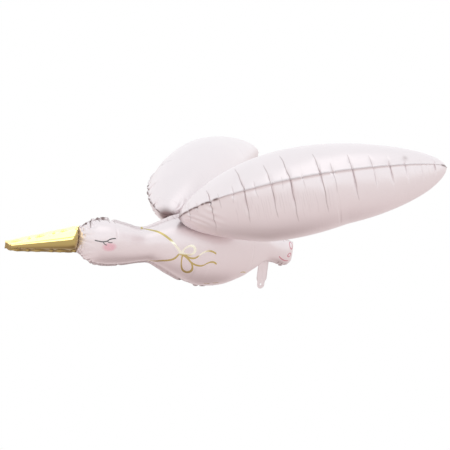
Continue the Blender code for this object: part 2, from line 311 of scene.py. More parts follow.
def body_section(x):
    """Seam plane middle, half height and half thickness of the level body at places x."""
    body = body_settings()
    front = body.tail - body.length
    place = (x - front) / body.length
    top = station_curve(place, TOP_SEAM) * body.height
    bottom = station_curve(place, BOTTOM_SEAM) * body.height - body.sag
    tuck = 1.0 - rounding(body.tail - x, body.tail_tuck)
    bottom = bottom + body.tail_tuck * tuck
    half = (top - bottom) / 2
    swell = rounding(x - front, body.head_rounding) * rounding(body.tail - x, body.tail_rounding)
    return body.axis_height + (top + bottom) / 2, half, half * station_curve(place, FULLNESS) * swell


def beak_section(distance):
    """The same for the beak, by distance from the head weld."""
    body, beak = body_settings(), bpy.context.scene.stork_beak
    base_middle, base_half, _ = body_section(np.array([body.tail - body.length]))
    share = distance / beak.length
    half = base_half + (beak.tip / 2 - base_half) * share
    swell = rounding(distance, beak.base_rounding) * rounding(beak.length - distance, beak.tip_rounding)
    tuck = beak.tip_tuck * (1.0 - rounding(beak.length - distance, beak.tip_rounding))
    middle, half = base_middle - beak.droop * share + tuck / 2, half - tuck / 2
    return middle, half, half * beak.fullness * swell


def wing_section(distance):
    """The same for a wing, by distance from its root corner."""
    wing = bpy.context.scene.stork_wing
    along = np.clip(distance / wing.length, 0.0, 1.0)
    lead = wing.lead * np.sin(np.pi * along**wing.lead_skew).clip(0.0) ** wing.lead_bluntness
    trail = -wing.trail * np.sin(np.pi * along**wing.trail_skew).clip(0.0) ** wing.trail_bluntness
    half = (lead - trail) / 2
    end = wing.root_fullness + (wing.tip_fullness - wing.root_fullness) * along
    swell = end + (1.0 - end) * np.sin(np.pi * along)
    return (lead + trail) / 2, half, half * wing.fullness * swell


def bowed_out(x, measure):
    """How far the body's seam bows outward at places x: 1 on the head and belly, 0 along the neck."""
    body = body_settings()
    place = (x - body.tail + body.length) / body.length
    before, here, after = (station_curve(place + step, measure) for step in (-BEND_STEP, 0.0, BEND_STEP))
    side = 1.0 if measure == TOP_SEAM else -1.0
    return np.clip(side * (2 * here - before - after) / STRONG_BEND, 0.0, 1.0)


def eased(count):
    """Places from 0 to 1 that crowd together at both ends."""
    t = np.linspace(0.0, 1.0, count + 1)
    return (1.0 - RING_EASING) * t + RING_EASING * (1.0 - np.cos(np.pi * t)) / 2


# Foil cushions

class Cushion:
    """A closed grid of foil cells, ring by ring, running round both sheets of a cushion.

    Column 0 is the lower or trailing seam and column `columns` the upper or leading one. Points hold
    place along the spine, place across in the seams' plane, and height off that plane. The flat
    pattern holds each cell corner's place on the unrolled sheet, so cells keep the size they were
    cut to when the cushion is inflated. The edge shapes the section: 0.5 is an ellipse, more is a lens
    that meets its seams at an angle, less is fuller beside its seams. Under is the second sheet's
    share of the thickness.
    """

    def __init__(self, spine, section, columns, edge=ELLIPSE_EDGE, under=1.0):
        self.columns = columns
        middle, half, thick = section(spine)
        edge = np.broadcast_to(edge, len(spine))[:, None]
        under = np.broadcast_to(under, len(spine))[:, None]
        angle = np.linspace(0.0, np.pi, ARC_STEPS + 1)
        across = middle[:, None] - half[:, None] * np.cos(angle)
        height = thick[:, None] * np.sin(angle).clip(0.0) ** (2.0 * edge)
        arc = np.concatenate([
            np.zeros((len(spine), 1)),
            np.cumsum(np.hypot(np.diff(across), np.diff(height)), axis=1),
        ], axis=1)
        share = np.linspace(0.0, 1.0, columns + 1)
        places = [np.interp(share * a[-1], a, row) for a, row in zip(arc, across)]
        heights = [np.interp(share * a[-1], a, row) for a, row in zip(arc, height)]
        places, heights = np.array(places), np.array(heights)
        girth = arc[:, -1]
        crown = np.stack([spine, thick], axis=1)
        unrolled = np.concatenate([[0.0], np.cumsum(np.linalg.norm(np.diff(crown, axis=0), axis=1))])
        back = slice(columns - 1, 0, -1)

        def both(first, second):
            return np.concatenate([first, second], axis=1)

        flat_across = middle[:, None] + girth[:, None] * (share - 0.5)
        self.points = np.stack([
            np.repeat(spine[:, None], 2 * columns, axis=1),
            both(places, places[:, back]),
            both(heights, -under * heights[:, back]),
        ], axis=2)
        self.flat = np.stack([
            np.repeat(unrolled[:, None], 2 * columns, axis=1),
            both(flat_across, flat_across[:, back]),
        ], axis=2)
        self.middle, self.half, self.spine, self.girth = middle, half, spine, girth
        self.dent = np.zeros(self.points.shape[:2])
        self.fold = np.zeros(self.points.shape[:2])
        self.shade = np.zeros(self.points.shape[:2])

    def seam_distance(self, seam):
        """Distance along the foil from the lower (-1) or upper (1) seam, and which sheet it is on."""
        column = np.arange(2 * self.columns)
        steps = np.minimum(column, 2 * self.columns - column)
        if seam > 0:
            steps = self.columns - steps
        return steps[None, :] / self.columns * self.girth[:, None], (column > self.columns).astype(int)

    def crease(self, seam, place, depth, reach, width, lean=(0.0, 0.0)):
        """Draw the foil in along one crease across a seam, with its own reach and lean on each sheet."""
        distance, sheet = self.seam_distance(seam)
        reach = np.maximum(np.array(reach), SAME_PLACE)[sheet][None, :]
        lean = np.array(lean)[sheet][None, :]
        fade = np.clip(1.0 - distance / reach, 0.0, 1.0)
        offset = np.abs(self.points[:, :, 0] - place - lean * distance)
        narrowed = width * (CREASE_END_WIDTH + (1.0 - CREASE_END_WIDTH) * fade)
        cut = np.clip(1.0 - offset / narrowed, 0.0, 1.0) ** 2
        shoulder = np.exp(-((offset / width - SWELL_PLACE) ** 2) * 2.0)
        self.dent += depth * fade**0.8 * cut - CREASE_SWELL * depth * fade * shoulder

    def end_creases(self, end, count, depth, reach, phase=0.0):
        """Fan creases out from a flat end weld; end is 0 for the first ring and 1 for the last."""
        distance = np.abs(self.spine - self.spine[-end])[:, None]
        column = np.arange(2 * self.columns)
        share = np.minimum(column, 2 * self.columns - column) / self.columns
        second = (column > self.columns) * SECOND_SHEET_TURN
        wave = (1.0 - np.abs(np.sin(np.pi * (share * count + phase + second)))) ** 2
        # Deepest a little way out from the weld, and not equally deep all round
        fade = np.exp(-((distance / reach) ** 1.5)) * (1.0 - np.exp(-distance / (0.15 * reach)))
        vary = 0.7 + 0.3 * np.sin(7.0 * share * count + 3.0 * second)
        self.dent += depth * fade * (wave * vary)[None, :]

    def refine(self, points, factor):
        """Put more rings between the rings of an inflated cushion; returns its finer points."""
        self.points, self.flat = finer(self.points, factor), finer(self.flat, factor)
        self.middle, self.half = finer(self.middle, factor), finer(self.half, factor)
        self.spine, self.girth = finer(self.spine, factor), finer(self.girth, factor)
        self.fold = np.zeros(self.points.shape[:2])
        self.shade = np.zeros(self.points.shape[:2])
        return finer(points, factor)

    def shade_seam(self, seam, place, length, width=0.004):
        """Paint shade along a stretch of a seam, where its margin is folded back on itself."""
        distance, _ = self.seam_distance(seam)
        along = np.exp(-((self.spine[:, None] - place) / (0.5 * length)) ** 4)
        self.shade = np.maximum(self.shade, along * np.exp(-((distance / width) ** 2)))

    def sharp_fold(self, seam, place, depth, reach, width, lean=(0.0, 0.0), begin=0.0):
        """Press one narrow fold into the foil: it crosses a seam, or begins at a distance from it."""
        distance, sheet = self.seam_distance(seam)
        reach = np.maximum(np.array(reach), SAME_PLACE)[sheet][None, :]
        lean = np.array(lean)[sheet][None, :]
        fade = np.clip(1.0 - distance / reach, 0.0, 1.0) ** FOLD_FADE
        fade = fade * np.clip(distance / FOLD_RUN_IN + 0.3, 0.0, 1.0)
        if begin:
            fade = fade * np.clip((distance - begin) / FOLD_RUN_IN, 0.0, 1.0)
        wobble = FOLD_WOBBLE * np.sin(WOBBLE_TURNS * distance + WOBBLE_START * place)
        offset = (self.spine[:, None] - place - lean * distance - wobble) / width
        groove = np.clip(1.0 - np.abs(offset), 0.0, 1.0)
        raised = np.exp(-LIP_SHARPNESS * (offset + LIP_PLACE) ** 2)
        self.fold -= depth * fade * (groove - FOLD_LIP * raised)

    def dimple(self, sheet, place, distance, depth, radius):
        """Press a small round dent into one sheet, at a distance from the upper seam."""
        gap, which = self.seam_distance(1)
        off = ((gap - distance) ** 2 + (self.spine[:, None] - place) ** 2) / radius**2
        self.fold -= depth * np.exp(-off) * (which == sheet)[None, :]

    def end_folds(self, end, count, depth, reach, rng):
        """Press narrow folds that fan out from a flat end weld; end is 0 or 1."""
        distance = np.abs(self.spine - self.spine[-end])[:, None]
        column = np.arange(2 * self.columns)[None, :]
        for number in range(count):
            # Each fold has its own place, length and spread
            middle = (number + rng.uniform(0.1, 0.9)) * 2 * self.columns / count
            length = reach * rng.uniform(0.45, 1.0)
            spread = 1.0 + rng.uniform(-0.12, 0.12) * distance / reach
            gap = (column - middle * spread + self.columns) % (2 * self.columns) - self.columns
            fade = np.clip(1.0 - distance / length, 0.0, 1.0) * np.clip(distance / FOLD_RUN_IN, 0.3, 1.0)
            groove = np.clip(1.0 - np.abs(gap) / (0.6 + 0.8 * fade), 0.0, 1.0)
            raised = np.exp(-0.9 * (np.abs(gap) - 1.9) ** 2)
            self.fold -= depth * rng.uniform(0.5, 1.0) * fade * (groove - 0.3 * raised)

    def draw_in(self):
        """Move every point towards its section's middle by the depth of its creases."""
        half = np.maximum(self.half, LEAST_HALF)[:, None]
        keep = 1.0 - self.dent / half
        self.points[:, :, 1] = self.middle[:, None] + (self.points[:, :, 1] - self.middle[:, None]) * keep
        self.points[:, :, 2] *= keep


def finer(rows, factor):
    """A smooth curve through rows, read at more places."""
    last = len(rows) - 1
    place = np.arange(last * factor + 1) / factor
    index = np.minimum(place.astype(int), last - 1)
    t = (place - index).reshape((-1,) + (1,) * (rows.ndim - 1))
    before, here = rows[np.maximum(index - 1, 0)], rows[index]
    after, beyond = rows[index + 1], rows[np.minimum(index + 2, last)]
    return here + 0.5 * t * (
        after - before
        + t * (2 * before - 5 * here + 4 * after - beyond + t * (3 * (here - after) + beyond - before))
    )


def emboss(points, relief):
    """Move points out of the cushion, along their normals, by a relief."""
    around = np.roll(points, -1, axis=1) - np.roll(points, 1, axis=1)
    normal = unit(np.cross(np.gradient(points, axis=0), around))
    outward = np.sign((normal * (points - points.mean(axis=1, keepdims=True))).sum())
    return points + relief[..., None] * outward * normal


def cell_lengths(a, b):
    """Distance between matching points of two grids."""
    return np.sqrt(((b - a) ** 2).sum(-1))


def pull(a, b, rest, stiffness=1.0):
    """Move matching points of two grids so that their distance comes back to its rest length."""
    gap = b - a
    length = np.sqrt(np.einsum("ijk,ijk->ij", gap, gap)) + 1e-9
    move = (0.5 * stiffness * (length - rest) / length)[..., None] * gap
    a += move
    b -= move


def inflate(cushion, start, hold, push, slack, guide, stiffness):
    """Blow a cushion up: pressure pushes its foil out while its cells keep the size they were cut to.

    The slack is the share of its spare length along the cushion that the foil keeps. The guide holds
    the crown of each sheet near its start, and is weaker towards the seams, where the foil that is
    too long for its seam gathers into creases. The stiffness evens out small waves along the
    cushion, but leaves the creases sharp.
    """
    points = start.astype(np.float32)
    target = points.copy()
    before = points.copy()
    flat = cushion.flat.astype(np.float32)
    turned = np.roll(flat, -1, axis=1)
    start_turned = np.roll(points, -1, axis=1)
    across = cell_lengths(flat, turned)

    def spare(cut, placed):
        return placed + slack * np.maximum(cut - placed, 0.0)

    along = spare(cell_lengths(flat[:-1], flat[1:]), cell_lengths(points[:-1], points[1:]))
    rising = spare(cell_lengths(flat[:-1], turned[1:]), cell_lengths(points[:-1], start_turned[1:]))
    falling = spare(cell_lengths(turned[:-1], flat[1:]), cell_lengths(start_turned[:-1], points[1:]))
    cell = 0.5 * np.abs(np.cross(turned[1:] - flat[:-1], flat[1:] - turned[:-1]))
    area = np.zeros(flat.shape[:2], np.float32)
    for corner in (cell, np.roll(cell, 1, axis=1)):
        area[:-1] += corner / 4
        area[1:] += corner / 4
    area = np.maximum(area, LEAST_AREA * area.mean())[..., None]
    column = np.arange(points.shape[1])
    near = np.abs((column + cushion.columns / 2) % cushion.columns - cushion.columns / 2)
    share = np.maximum((2.0 * near / cushion.columns) ** 2, SEAM_GUIDE)
    crown = (guide * share).astype(np.float32)[None, :, None]
    push *= facing(points)
    soft = stiffness * np.exp(-cushion.dent.clip(0.0) / CREASE_START)
    soft = soft[1:-1, :, None].astype(np.float32)
    even = (EVEN_ACROSS * (near > 0)).astype(np.float32)[None, :, None]
    for _ in range(FULL_STEPS):
        moved = (points - before) * SPEED_KEPT
        before = points.copy()
        beside = np.roll(points, -1, axis=1)
        normal = 0.5 * np.cross(beside[1:] - points[:-1], points[1:] - beside[:-1])
        lift = np.zeros_like(points)
        for corner in (normal, np.roll(normal, 1, axis=1)):
            lift[:-1] += corner / 4
            lift[1:] += corner / 4
        points += moved + push * lift / area
        points[1:-1] += soft * (0.5 * (points[:-2] + points[2:]) - points[1:-1])
        beside = 0.5 * (np.roll(points, 1, axis=1) + np.roll(points, -1, axis=1))
        points[1:-1] += even * soft * (beside - points)[1:-1]
        for _ in range(ROUNDS):
            for first in (0, 1):
                pull(points[first:-1:2], points[first + 1::2], along[first::2])
            pull(points[:, 0::2], points[:, 1::2], across[:, 0::2])
            beside = np.roll(points, -1, axis=1)
            pull(beside[:, 0::2], beside[:, 1::2], across[:, 1::2])
            points = np.roll(beside, 1, axis=1)
            for first in (0, 1):
                low, high = points[first:-1:2], points[first + 1::2]
                shifted = np.roll(high, -1, axis=1)
                pull(low, shifted, rising[first::2])
                high[:] = np.roll(shifted, 1, axis=1)
                shifted = np.roll(low, -1, axis=1)
                pull(shifted, high, falling[first::2])
                low[:] = np.roll(shifted, 1, axis=1)
            points += crown * (target - points)
            hold(points, target)
    return points.astype(float)


def facing(points):
    """1 if a grid's cells face out of the cushion, -1 if they face in."""
    beside = np.roll(points, -1, axis=1)
    normal = np.cross(beside[1:] - points[:-1], points[1:] - beside[:-1])
    centre = points.mean(axis=1, keepdims=True)[:-1]
    return float(np.sign((normal * (points[:-1] - centre)).sum()))


def hold_ends(points, target):
    """Keep both flat end welds where they are, with their sheets together."""
    points[0], points[-1] = target[0], target[-1]


# Skins

def unit(vectors):
    """Vectors scaled to length 1."""
    return vectors / np.maximum(np.linalg.norm(vectors, axis=-1, keepdims=True), 1e-9)


def smoothed(vectors, passes):
    """Average vectors along the rings, with the two ends kept."""
    for _ in range(passes):
        vectors[1:-1] = 0.25 * vectors[:-2] + 0.5 * vectors[1:-1] + 0.25 * vectors[2:]
    return vectors


def weld_directions(points, seam, end_out):
    """Directions out of the seam and through its thickness, ring by ring."""
    to_first = 1 if seam == 0 else -1

    def beside(steps):
        return points[:, (seam + to_first * steps) % points.shape[1]]

    out = unit(unit(beside(0) - beside(1)) + unit(beside(0) - beside(-1)))
    for ring, direction in end_out.items():
        out[ring] = direction
    out = unit(smoothed(out, WELD_SMOOTHING))
    tangent = unit(np.gradient(points[:, seam], axis=0))
    through = unit(np.cross(out, tangent))
    sign = np.sign(((beside(2) - beside(-2)) * through).sum(-1).sum())
    return out, smoothed(through * sign, WELD_SMOOTHING)


def skin_grid(cushion, points, margin, edge, crimp, ends, turns=CRIMP_TURNS):
    """Add the welds; returns grids of points, places on the flat pattern, weld and painted shade.

    The margin is one width or one for each ring, and crimp is how far it waves, as a share of it.
    Each end is its ring, its direction and its kind: a point, a flush weld or one with a margin.
    """
    columns = cushion.columns
    margin = np.broadcast_to(margin, len(points))[:, None]
    outward = np.stack([0.0 * margin, margin], axis=2)
    wave = np.sin(cushion.spine * turns + CRIMP_DRIFT * np.sin(cushion.spine * DRIFT_TURNS))
    pointed = {ring: direction for ring, direction, kind in ends if kind == "point"}
    out_low, through_low = weld_directions(points, 0, pointed)
    out_high, through_high = weld_directions(points, columns, pointed)
    share = np.minimum(np.arange(2 * columns), 2 * columns - np.arange(2 * columns)) / columns
    share = share[None, :, None]
    through = (1.0 - share) * through_low[:, None] + share * through_high[:, None]
    lift = 0.5 * edge * unit(through)
    out_low = out_low + crimp * wave[:, None] * through_low
    out_high = out_high + crimp * wave[:, None] * through_high

    def ring_grid(points, flat, lift):
        """Both sheets and the four edges of the margins, running round each ring."""
        low, high = points[:, 0], points[:, columns]
        thick_low, thick_high = lift[:, 0], lift[:, columns]
        first, second = slice(1, columns), slice(columns + 1, 2 * columns)
        rows = [
            (points[:, first] + lift[:, first], flat[:, first], 0.0),
            ((high + thick_high)[:, None], flat[:, [columns]], 0.5),
            ((high + thick_high + margin * out_high)[:, None], flat[:, [columns]] + outward, 1.0),
            ((high - thick_high + margin * out_high)[:, None], flat[:, [columns]] + outward, 1.0),
            ((high - thick_high)[:, None], flat[:, [columns]], 0.5),
            (points[:, second] - lift[:, second], flat[:, second], 0.0),
            ((low - thick_low)[:, None], flat[:, [0]], 0.5),
            ((low - thick_low + margin * out_low)[:, None], flat[:, [0]] - outward, 1.0),
            ((low + thick_low + margin * out_low)[:, None], flat[:, [0]] - outward, 1.0),
            ((low + thick_low)[:, None], flat[:, [0]], 0.5),
        ]
        grid = np.concatenate([row[0] for row in rows], axis=1)
        pattern = np.concatenate([row[1] for row in rows], axis=1)
        weld = np.concatenate([np.full(row[0].shape[1], row[2]) for row in rows])
        return grid, pattern, np.repeat(weld[None, :], len(grid), axis=0)

    grid, pattern, weld = ring_grid(points, cushion.flat, lift)
    bare = ring_grid(points, cushion.flat, 0.0 * lift)[0]
    # Painted shade: darker the deeper a fold, and along the shaded stretches
    painted_shade = np.clip(np.maximum(-cushion.fold / FOLD_DARKEST, cushion.shade), 0.0, 1.0)
    dent = np.zeros_like(weld)
    dent[:, :columns - 1] = painted_shade[:, 1:columns]
    dent[:, columns - 1:columns + 3] = painted_shade[:, [columns]]
    dent[:, columns + 3:2 * columns + 2] = painted_shade[:, columns + 1:]
    dent[:, 2 * columns + 2:] = painted_shade[:, [0]]
    for ring, direction, kind in ends:
        if kind == "point":
            continue
        reach = float(margin[ring, 0]) if kind == "margin" else 0.0
        place = 0 if ring == 0 else len(grid) - 1
        shift = np.array((reach if ring else -reach, 0.0))
        added = [bare[ring] + reach * np.array(direction)]
        if kind == "margin":
            added.insert(0, grid[place] + reach * np.array(direction))
        if ring == 0:
            added.reverse()
        count = len(added)
        rows = np.array(added)
        flats = np.repeat((pattern[place] + shift)[None], count, axis=0)
        welds = np.ones((count, grid.shape[1]))
        dents = np.repeat(dent[place][None], count, axis=0)
        grown = []
        for new, old in ((rows, grid), (flats, pattern), (welds, weld), (dents, dent)):
            grown.append(np.concatenate((new, old) if ring == 0 else (old, new)))
        grid, pattern, weld, dent = grown
    return grid, pattern, weld, dent


def piece_from(bm, name, material):
    """Turn a closed mesh outwards and make it an object of one material."""
    bmesh.ops.recalc_face_normals(bm, faces=bm.faces)
    if bm.calc_volume(signed=True) < 0:
        bmesh.ops.reverse_faces(bm, faces=bm.faces)
    mesh = bpy.data.meshes.new(name)
    bm.to_mesh(mesh)
    bm.free()
    mesh.materials.append(material)
    piece = bpy.data.objects.new(name, mesh)
    bpy.context.scene.collection.objects.link(piece)
    return piece


def skin_object(name, grid, pattern, weld, dent, material):
    """Bend a flat grid of faces round a skin and close it, with its flat pattern as UV map."""
    rings, columns = grid.shape[0] - 1, grid.shape[1]
    bm = bmesh.new()
    bmesh.ops.create_grid(bm, x_segments=rings, y_segments=columns, size=0.5)
    uv = bm.loops.layers.uv.new("flat_pattern")
    weld_layer = bm.verts.layers.float.new("weld")
    # The crease layer holds painted shade
    painted_shade_layer = bm.verts.layers.float.new("crease")
    spots = {}
    for vert in bm.verts:
        ring = round((vert.co.x + 0.5) * rings)
        column = round((vert.co.y + 0.5) * columns) % columns
        spots[vert.index] = (ring, column)
        vert.co = grid[ring, column]
        vert[weld_layer] = weld[ring, column]
        vert[painted_shade_layer] = dent[ring, column]
    for face in bm.faces:
        face.smooth = True
        for loop in face.loops:
            loop[uv].uv = pattern[spots[loop.vert.index]]
    bmesh.ops.remove_doubles(bm, verts=bm.verts, dist=SAME_PLACE)
    bmesh.ops.dissolve_degenerate(bm, dist=SAME_PLACE, edges=bm.edges)
    return piece_from(bm, name, material)


def in_flight(grid):
    """Tip points of the level bird into its flying pose."""
    return grid @ TO_WORLD.T


# Materials

class Nodes:
    """Adds nodes to a tree, with their plain inputs set and their linked inputs joined."""

    def __init__(self, tree):
        self.tree = tree

    def fill(self, node, inputs):
        """Set or join a node's inputs, by their names or numbers."""
        for name, value in dict(inputs).items():
            if isinstance(value, bpy.types.NodeSocket):
                self.tree.links.new(value, node.inputs[name])
            else:
                node.inputs[name].default_value = value

    def add(self, kind, inputs=(), **settings):
        """One node, with its own settings made before its inputs."""
        node = self.tree.nodes.new(kind)
        for name, value in settings.items():
            setattr(node, name, value)
        self.fill(node, inputs)
        return node

    def math(self, operation, *values, clamp=False):
        """One Math node; returns its output."""
        return self.add("ShaderNodeMath", enumerate(values), operation=operation, use_clamp=clamp).outputs[0]

    def vector(self, operation, *values):
        """One Vector Math node; returns its vector."""
        return self.add("ShaderNodeVectorMath", enumerate(values), operation=operation).outputs[0]

    def parts(self, vector):
        """A vector's X, Y and Z."""
        return self.add("ShaderNodeSeparateXYZ", {"Vector": vector}).outputs

    def length(self, first, second):
        """Length of a step of two parts at right angles."""
        squares = (self.math("POWER", part, 2.0) for part in (first, second))
        return self.math("SQRT", self.math("ADD", *squares))

    def noise(self, vector, scale, detail):
        """Noise from 0 to 1 over a pattern."""
        inputs = {"Vector": vector, "Scale": scale, "Detail": detail}
        return self.add("ShaderNodeTexNoise", inputs).outputs["Fac"]

    def ramp(self, value, none, full):
        """0 where a value is at none, 1 where it is at full, and straight between them."""
        inputs = {"Value": value, "From Min": none, "From Max": full}
        return self.add("ShaderNodeMapRange", inputs).outputs["Result"]

    def placed(self, pattern, x, y, angle):
        """A pattern measured from a place of its own, turned by an angle."""
        inputs = {"Vector": pattern, "Location": (x, y, 0.0), "Rotation": (0.0, 0.0, angle)}
        return self.add("ShaderNodeMapping", inputs, vector_type="TEXTURE").outputs["Vector"]

    def mix(self, factor, first, second):
        """Mix two colours by a factor."""
        return self.add("ShaderNodeMix", {0: factor, 6: first, 7: second}, data_type="RGBA").outputs[2]

    def group(self, name, make, inputs):
        """Place a node group with its own values, made at its first use; returns its outputs."""
        tree = bpy.data.node_groups.get(name) or make(name)
        return self.add("ShaderNodeGroup", inputs, node_tree=tree).outputs


def new_group(name, inputs, outputs):
    """A shader node group with named sockets; returns its tree, its builder and its two end nodes."""
    tree = bpy.data.node_groups.new(name, "ShaderNodeTree")
    for label, kind, default in inputs:
        socket = tree.interface.new_socket(label, in_out="INPUT", socket_type=f"NodeSocket{kind}")
        if default is not None:
            socket.default_value = default
    for label, kind in outputs:
        tree.interface.new_socket(label, in_out="OUTPUT", socket_type=f"NodeSocket{kind}")
    build = Nodes(tree)
    return tree, build, build.add("NodeGroupInput").outputs, build.add("NodeGroupOutput")


# Film: how dark its clouds are, how strongly the weld, its inner line and the creases take the
# painted shade colour, and how much rougher the clouds and the weld are
DEEP_FOIL = 0.93
CLOUD_SCALE = 6.0
CLOUD_TONE = 0.6
WELD_SHADE_TONE = 0.06
SEAM_LINE_SHADE_TONE = 0.28
LINE_SHARPNESS = 6.0
PAINTED_SHADE_TONE = 0.9
CLOUD_ROUGHNESS = 0.08
WELD_ROUGHNESS = 0.10


def film_group(name):
    """Colour and roughness of the film, with faint clouds, painted shade in its creases and along its seam,
    and a matter weld.

    The Weld that comes in is 0 on the foil, 0.5 on the seam and 1 on the margin's edge; the one that
    goes out is 0 up to the seam and 1 on that edge.
    """
    tree, build, given, made = new_group(
        name,
        (("Pattern", "Vector", None), ("Weld", "Float", 0.0), ("Painted Shade", "Float", 0.0),
         ("Foil Color", "Color", None), ("Deep Color", "Color", None), ("Painted Shade Color", "Color", None),
         ("Roughness", "Float", 0.3)),
        (("Color", "Color"), ("Roughness", "Float"), ("Weld", "Float")),
    )
    off_line = build.math("ABSOLUTE", build.math("SUBTRACT", given["Weld"], 0.5))
    line = build.math("MAXIMUM", build.math("MULTIPLY_ADD", off_line, -2.0, 1.0), 0.0)
    line = build.math("POWER", line, LINE_SHARPNESS)
    weld = build.ramp(given["Weld"], 0.5, 1.0)
    cloud = build.noise(given["Pattern"], CLOUD_SCALE, 2.0)
    tone = build.mix(build.math("MULTIPLY", cloud, CLOUD_TONE), given["Foil Color"], given["Deep Color"])
    # Painted shade: the weld margin, the seam's inner line and the creases are drawn towards the shade colour
    for mask, strength in ((weld, WELD_SHADE_TONE), (line, SEAM_LINE_SHADE_TONE), (given["Painted Shade"], PAINTED_SHADE_TONE)):
        tone = build.mix(build.math("MULTIPLY", mask, strength), tone, given["Painted Shade Color"])
    shine = build.math("SUBTRACT", given["Roughness"], CLOUD_ROUGHNESS / 2)
    shine = build.math("MULTIPLY_ADD", cloud, CLOUD_ROUGHNESS, shine)
    shine = build.math("MULTIPLY_ADD", weld, WELD_ROUGHNESS, shine)
    build.fill(made, {"Color": tone, "Roughness": shine, "Weld": weld})
    return tree


# Relief, in metres: pleats are long across the cushion and lie in patches, and the weld is grained
PLEAT_STRETCH = (95.0, 5.0, 1.0)
PATCH_SCALE = 5.0
PATCH_EDGES = (0.45, 0.65)
CRINKLE_SCALE = 38.0
GRAIN_SCALE = 160.0
GRAIN_HEIGHT = 0.0012


def relief_group(name):
    """Fine pleats across the cushion and a faint crinkle, as a bump height in metres."""
    tree, build, given, made = new_group(
        name,
        (("Pattern", "Vector", None), ("Pleats", "Float", 0.0004), ("Crinkle", "Float", 0.0002),
         ("Weld", "Float", 0.0)),
        (("Height", "Float"),),
    )
    stretched = build.vector("MULTIPLY", given["Pattern"], PLEAT_STRETCH)
    pleats = build.math("MULTIPLY", build.noise(stretched, 1.0, 2.0), given["Pleats"])
    patches = build.ramp(build.noise(given["Pattern"], PATCH_SCALE, 1.0), *PATCH_EDGES)
    pleats = build.math("MULTIPLY", pleats, patches)
    crinkle = build.math("MULTIPLY", build.noise(given["Pattern"], CRINKLE_SCALE, 3.0), given["Crinkle"])
    grain = build.math("MULTIPLY", build.noise(given["Pattern"], GRAIN_SCALE, 2.0), GRAIN_HEIGHT)
    grain = build.math("MULTIPLY", grain, given["Weld"])
    build.fill(made, {"Height": build.math("ADD", build.math("ADD", pleats, crinkle), grain)})
    return tree


# How sharply a print's mask falls from 1 to 0 over its edge, for each metre
PRINT_SHARPNESS = 900.0


def print_mask(build, width, distance):
    """1 within half a printed line's width of its middle, 0 outside."""
    edge = build.math("SUBTRACT", build.math("MULTIPLY", width, 0.5), distance)
    return build.math("MULTIPLY_ADD", edge, PRINT_SHARPNESS, 0.5, clamp=True)


def stroke_group(name):
    """Mask of a printed line: how far along it, how far off it, its length and its width."""
    tree, build, given, made = new_group(
        name,
        (("Along", "Float", 0.0), ("Off", "Float", 0.0), ("Length", "Float", 0.1),
         ("Width", "Float", 0.009)),
        (("Mask", "Float"),),
    )
    over = build.math("SUBTRACT", build.math("ABSOLUTE", build.math("SUBTRACT", given["Along"], 0.5)), 0.5)
    over = build.math("MAXIMUM", build.math("MULTIPLY", over, given["Length"]), 0.0)
    build.fill(made, {"Mask": print_mask(build, given["Width"], build.length(over, given["Off"]))})
    return tree


def loop_group(name):
    """Masks of a printed loop: an egg-shaped ring, and how far inside the egg, 1 at its middle."""
    tree, build, given, made = new_group(
        name,
        (("Place", "Vector", None), ("Long", "Float", 0.03), ("Short", "Float", 0.02),
         ("Taper", "Float", 0.0), ("Width", "Float", 0.008)),
        (("Mask", "Float"), ("Inside", "Float")),
    )
    parts = build.parts(given["Place"])
    along = build.math("DIVIDE", parts["X"], given["Long"])
    short = build.math("MULTIPLY", given["Short"], build.math("MULTIPLY_ADD", along, given["Taper"], 1.0))
    off = build.math("DIVIDE", parts["Y"], build.math("MAXIMUM", short, 0.0005))
    radius = build.length(along, off)
    mean = build.math("MULTIPLY", build.math("ADD", given["Long"], given["Short"]), 0.5)
    reach = build.math("MULTIPLY", build.math("SUBTRACT", radius, 1.0), mean)
    mask = print_mask(build, given["Width"], build.math("ABSOLUTE", reach))
    build.fill(made, {"Mask": mask, "Inside": build.math("SUBTRACT", 1.0, radius)})
    return tree


# Prints, in metres on the body's flat pattern: along the body from the head weld, and up.
# A line is its width and the points it passes through; a loop is its centre, its angle in degrees,
# its half length, its half width, its taper and the width of its line.
RIBBON_LINES = (
    (0.0110, ((0.333, 0.275), (0.359, 0.250), (0.396, 0.2325), (0.437, 0.2045), (0.477, 0.1665),
              (0.495, 0.147))),
    (0.0100, ((0.368, 0.079), (0.393, 0.083), (0.421, 0.097), (0.450, 0.1065), (0.469, 0.117),
              (0.484, 0.140))),
    (0.0090, ((0.286, 0.053), (0.316, 0.067))),
    (0.0085, ((0.498, 0.146), (0.514, 0.141), (0.536, 0.130), (0.560, 0.1305), (0.582, 0.1486),
              (0.6035, 0.1634), (0.627, 0.1684), (0.6545, 0.160))),
    (0.0085, ((0.496, 0.146), (0.5270, 0.1263), (0.5520, 0.1064), (0.583, 0.096), (0.605, 0.098),
              (0.6244, 0.1115), (0.6467, 0.119), (0.667, 0.112))),
    (0.0055, ((0.660, -0.016), (0.683, -0.012))),
    (0.0055, ((0.702, -0.006), (0.727, -0.002))),
    (0.0060, ((0.838, 0.066), (0.860, 0.066), (0.880, 0.060))),
)
RIBBON_LOOPS = (
    (0.5270, 0.1620, 20.0, 0.0290, 0.0185, 0.30, 0.0105),
    (0.5300, 0.0975, -60.0, 0.0500, 0.0210, 0.35, 0.0100),
    (0.4950, 0.1465, 0.0, 0.0050, 0.0045, 0.0, 0.0100),
)
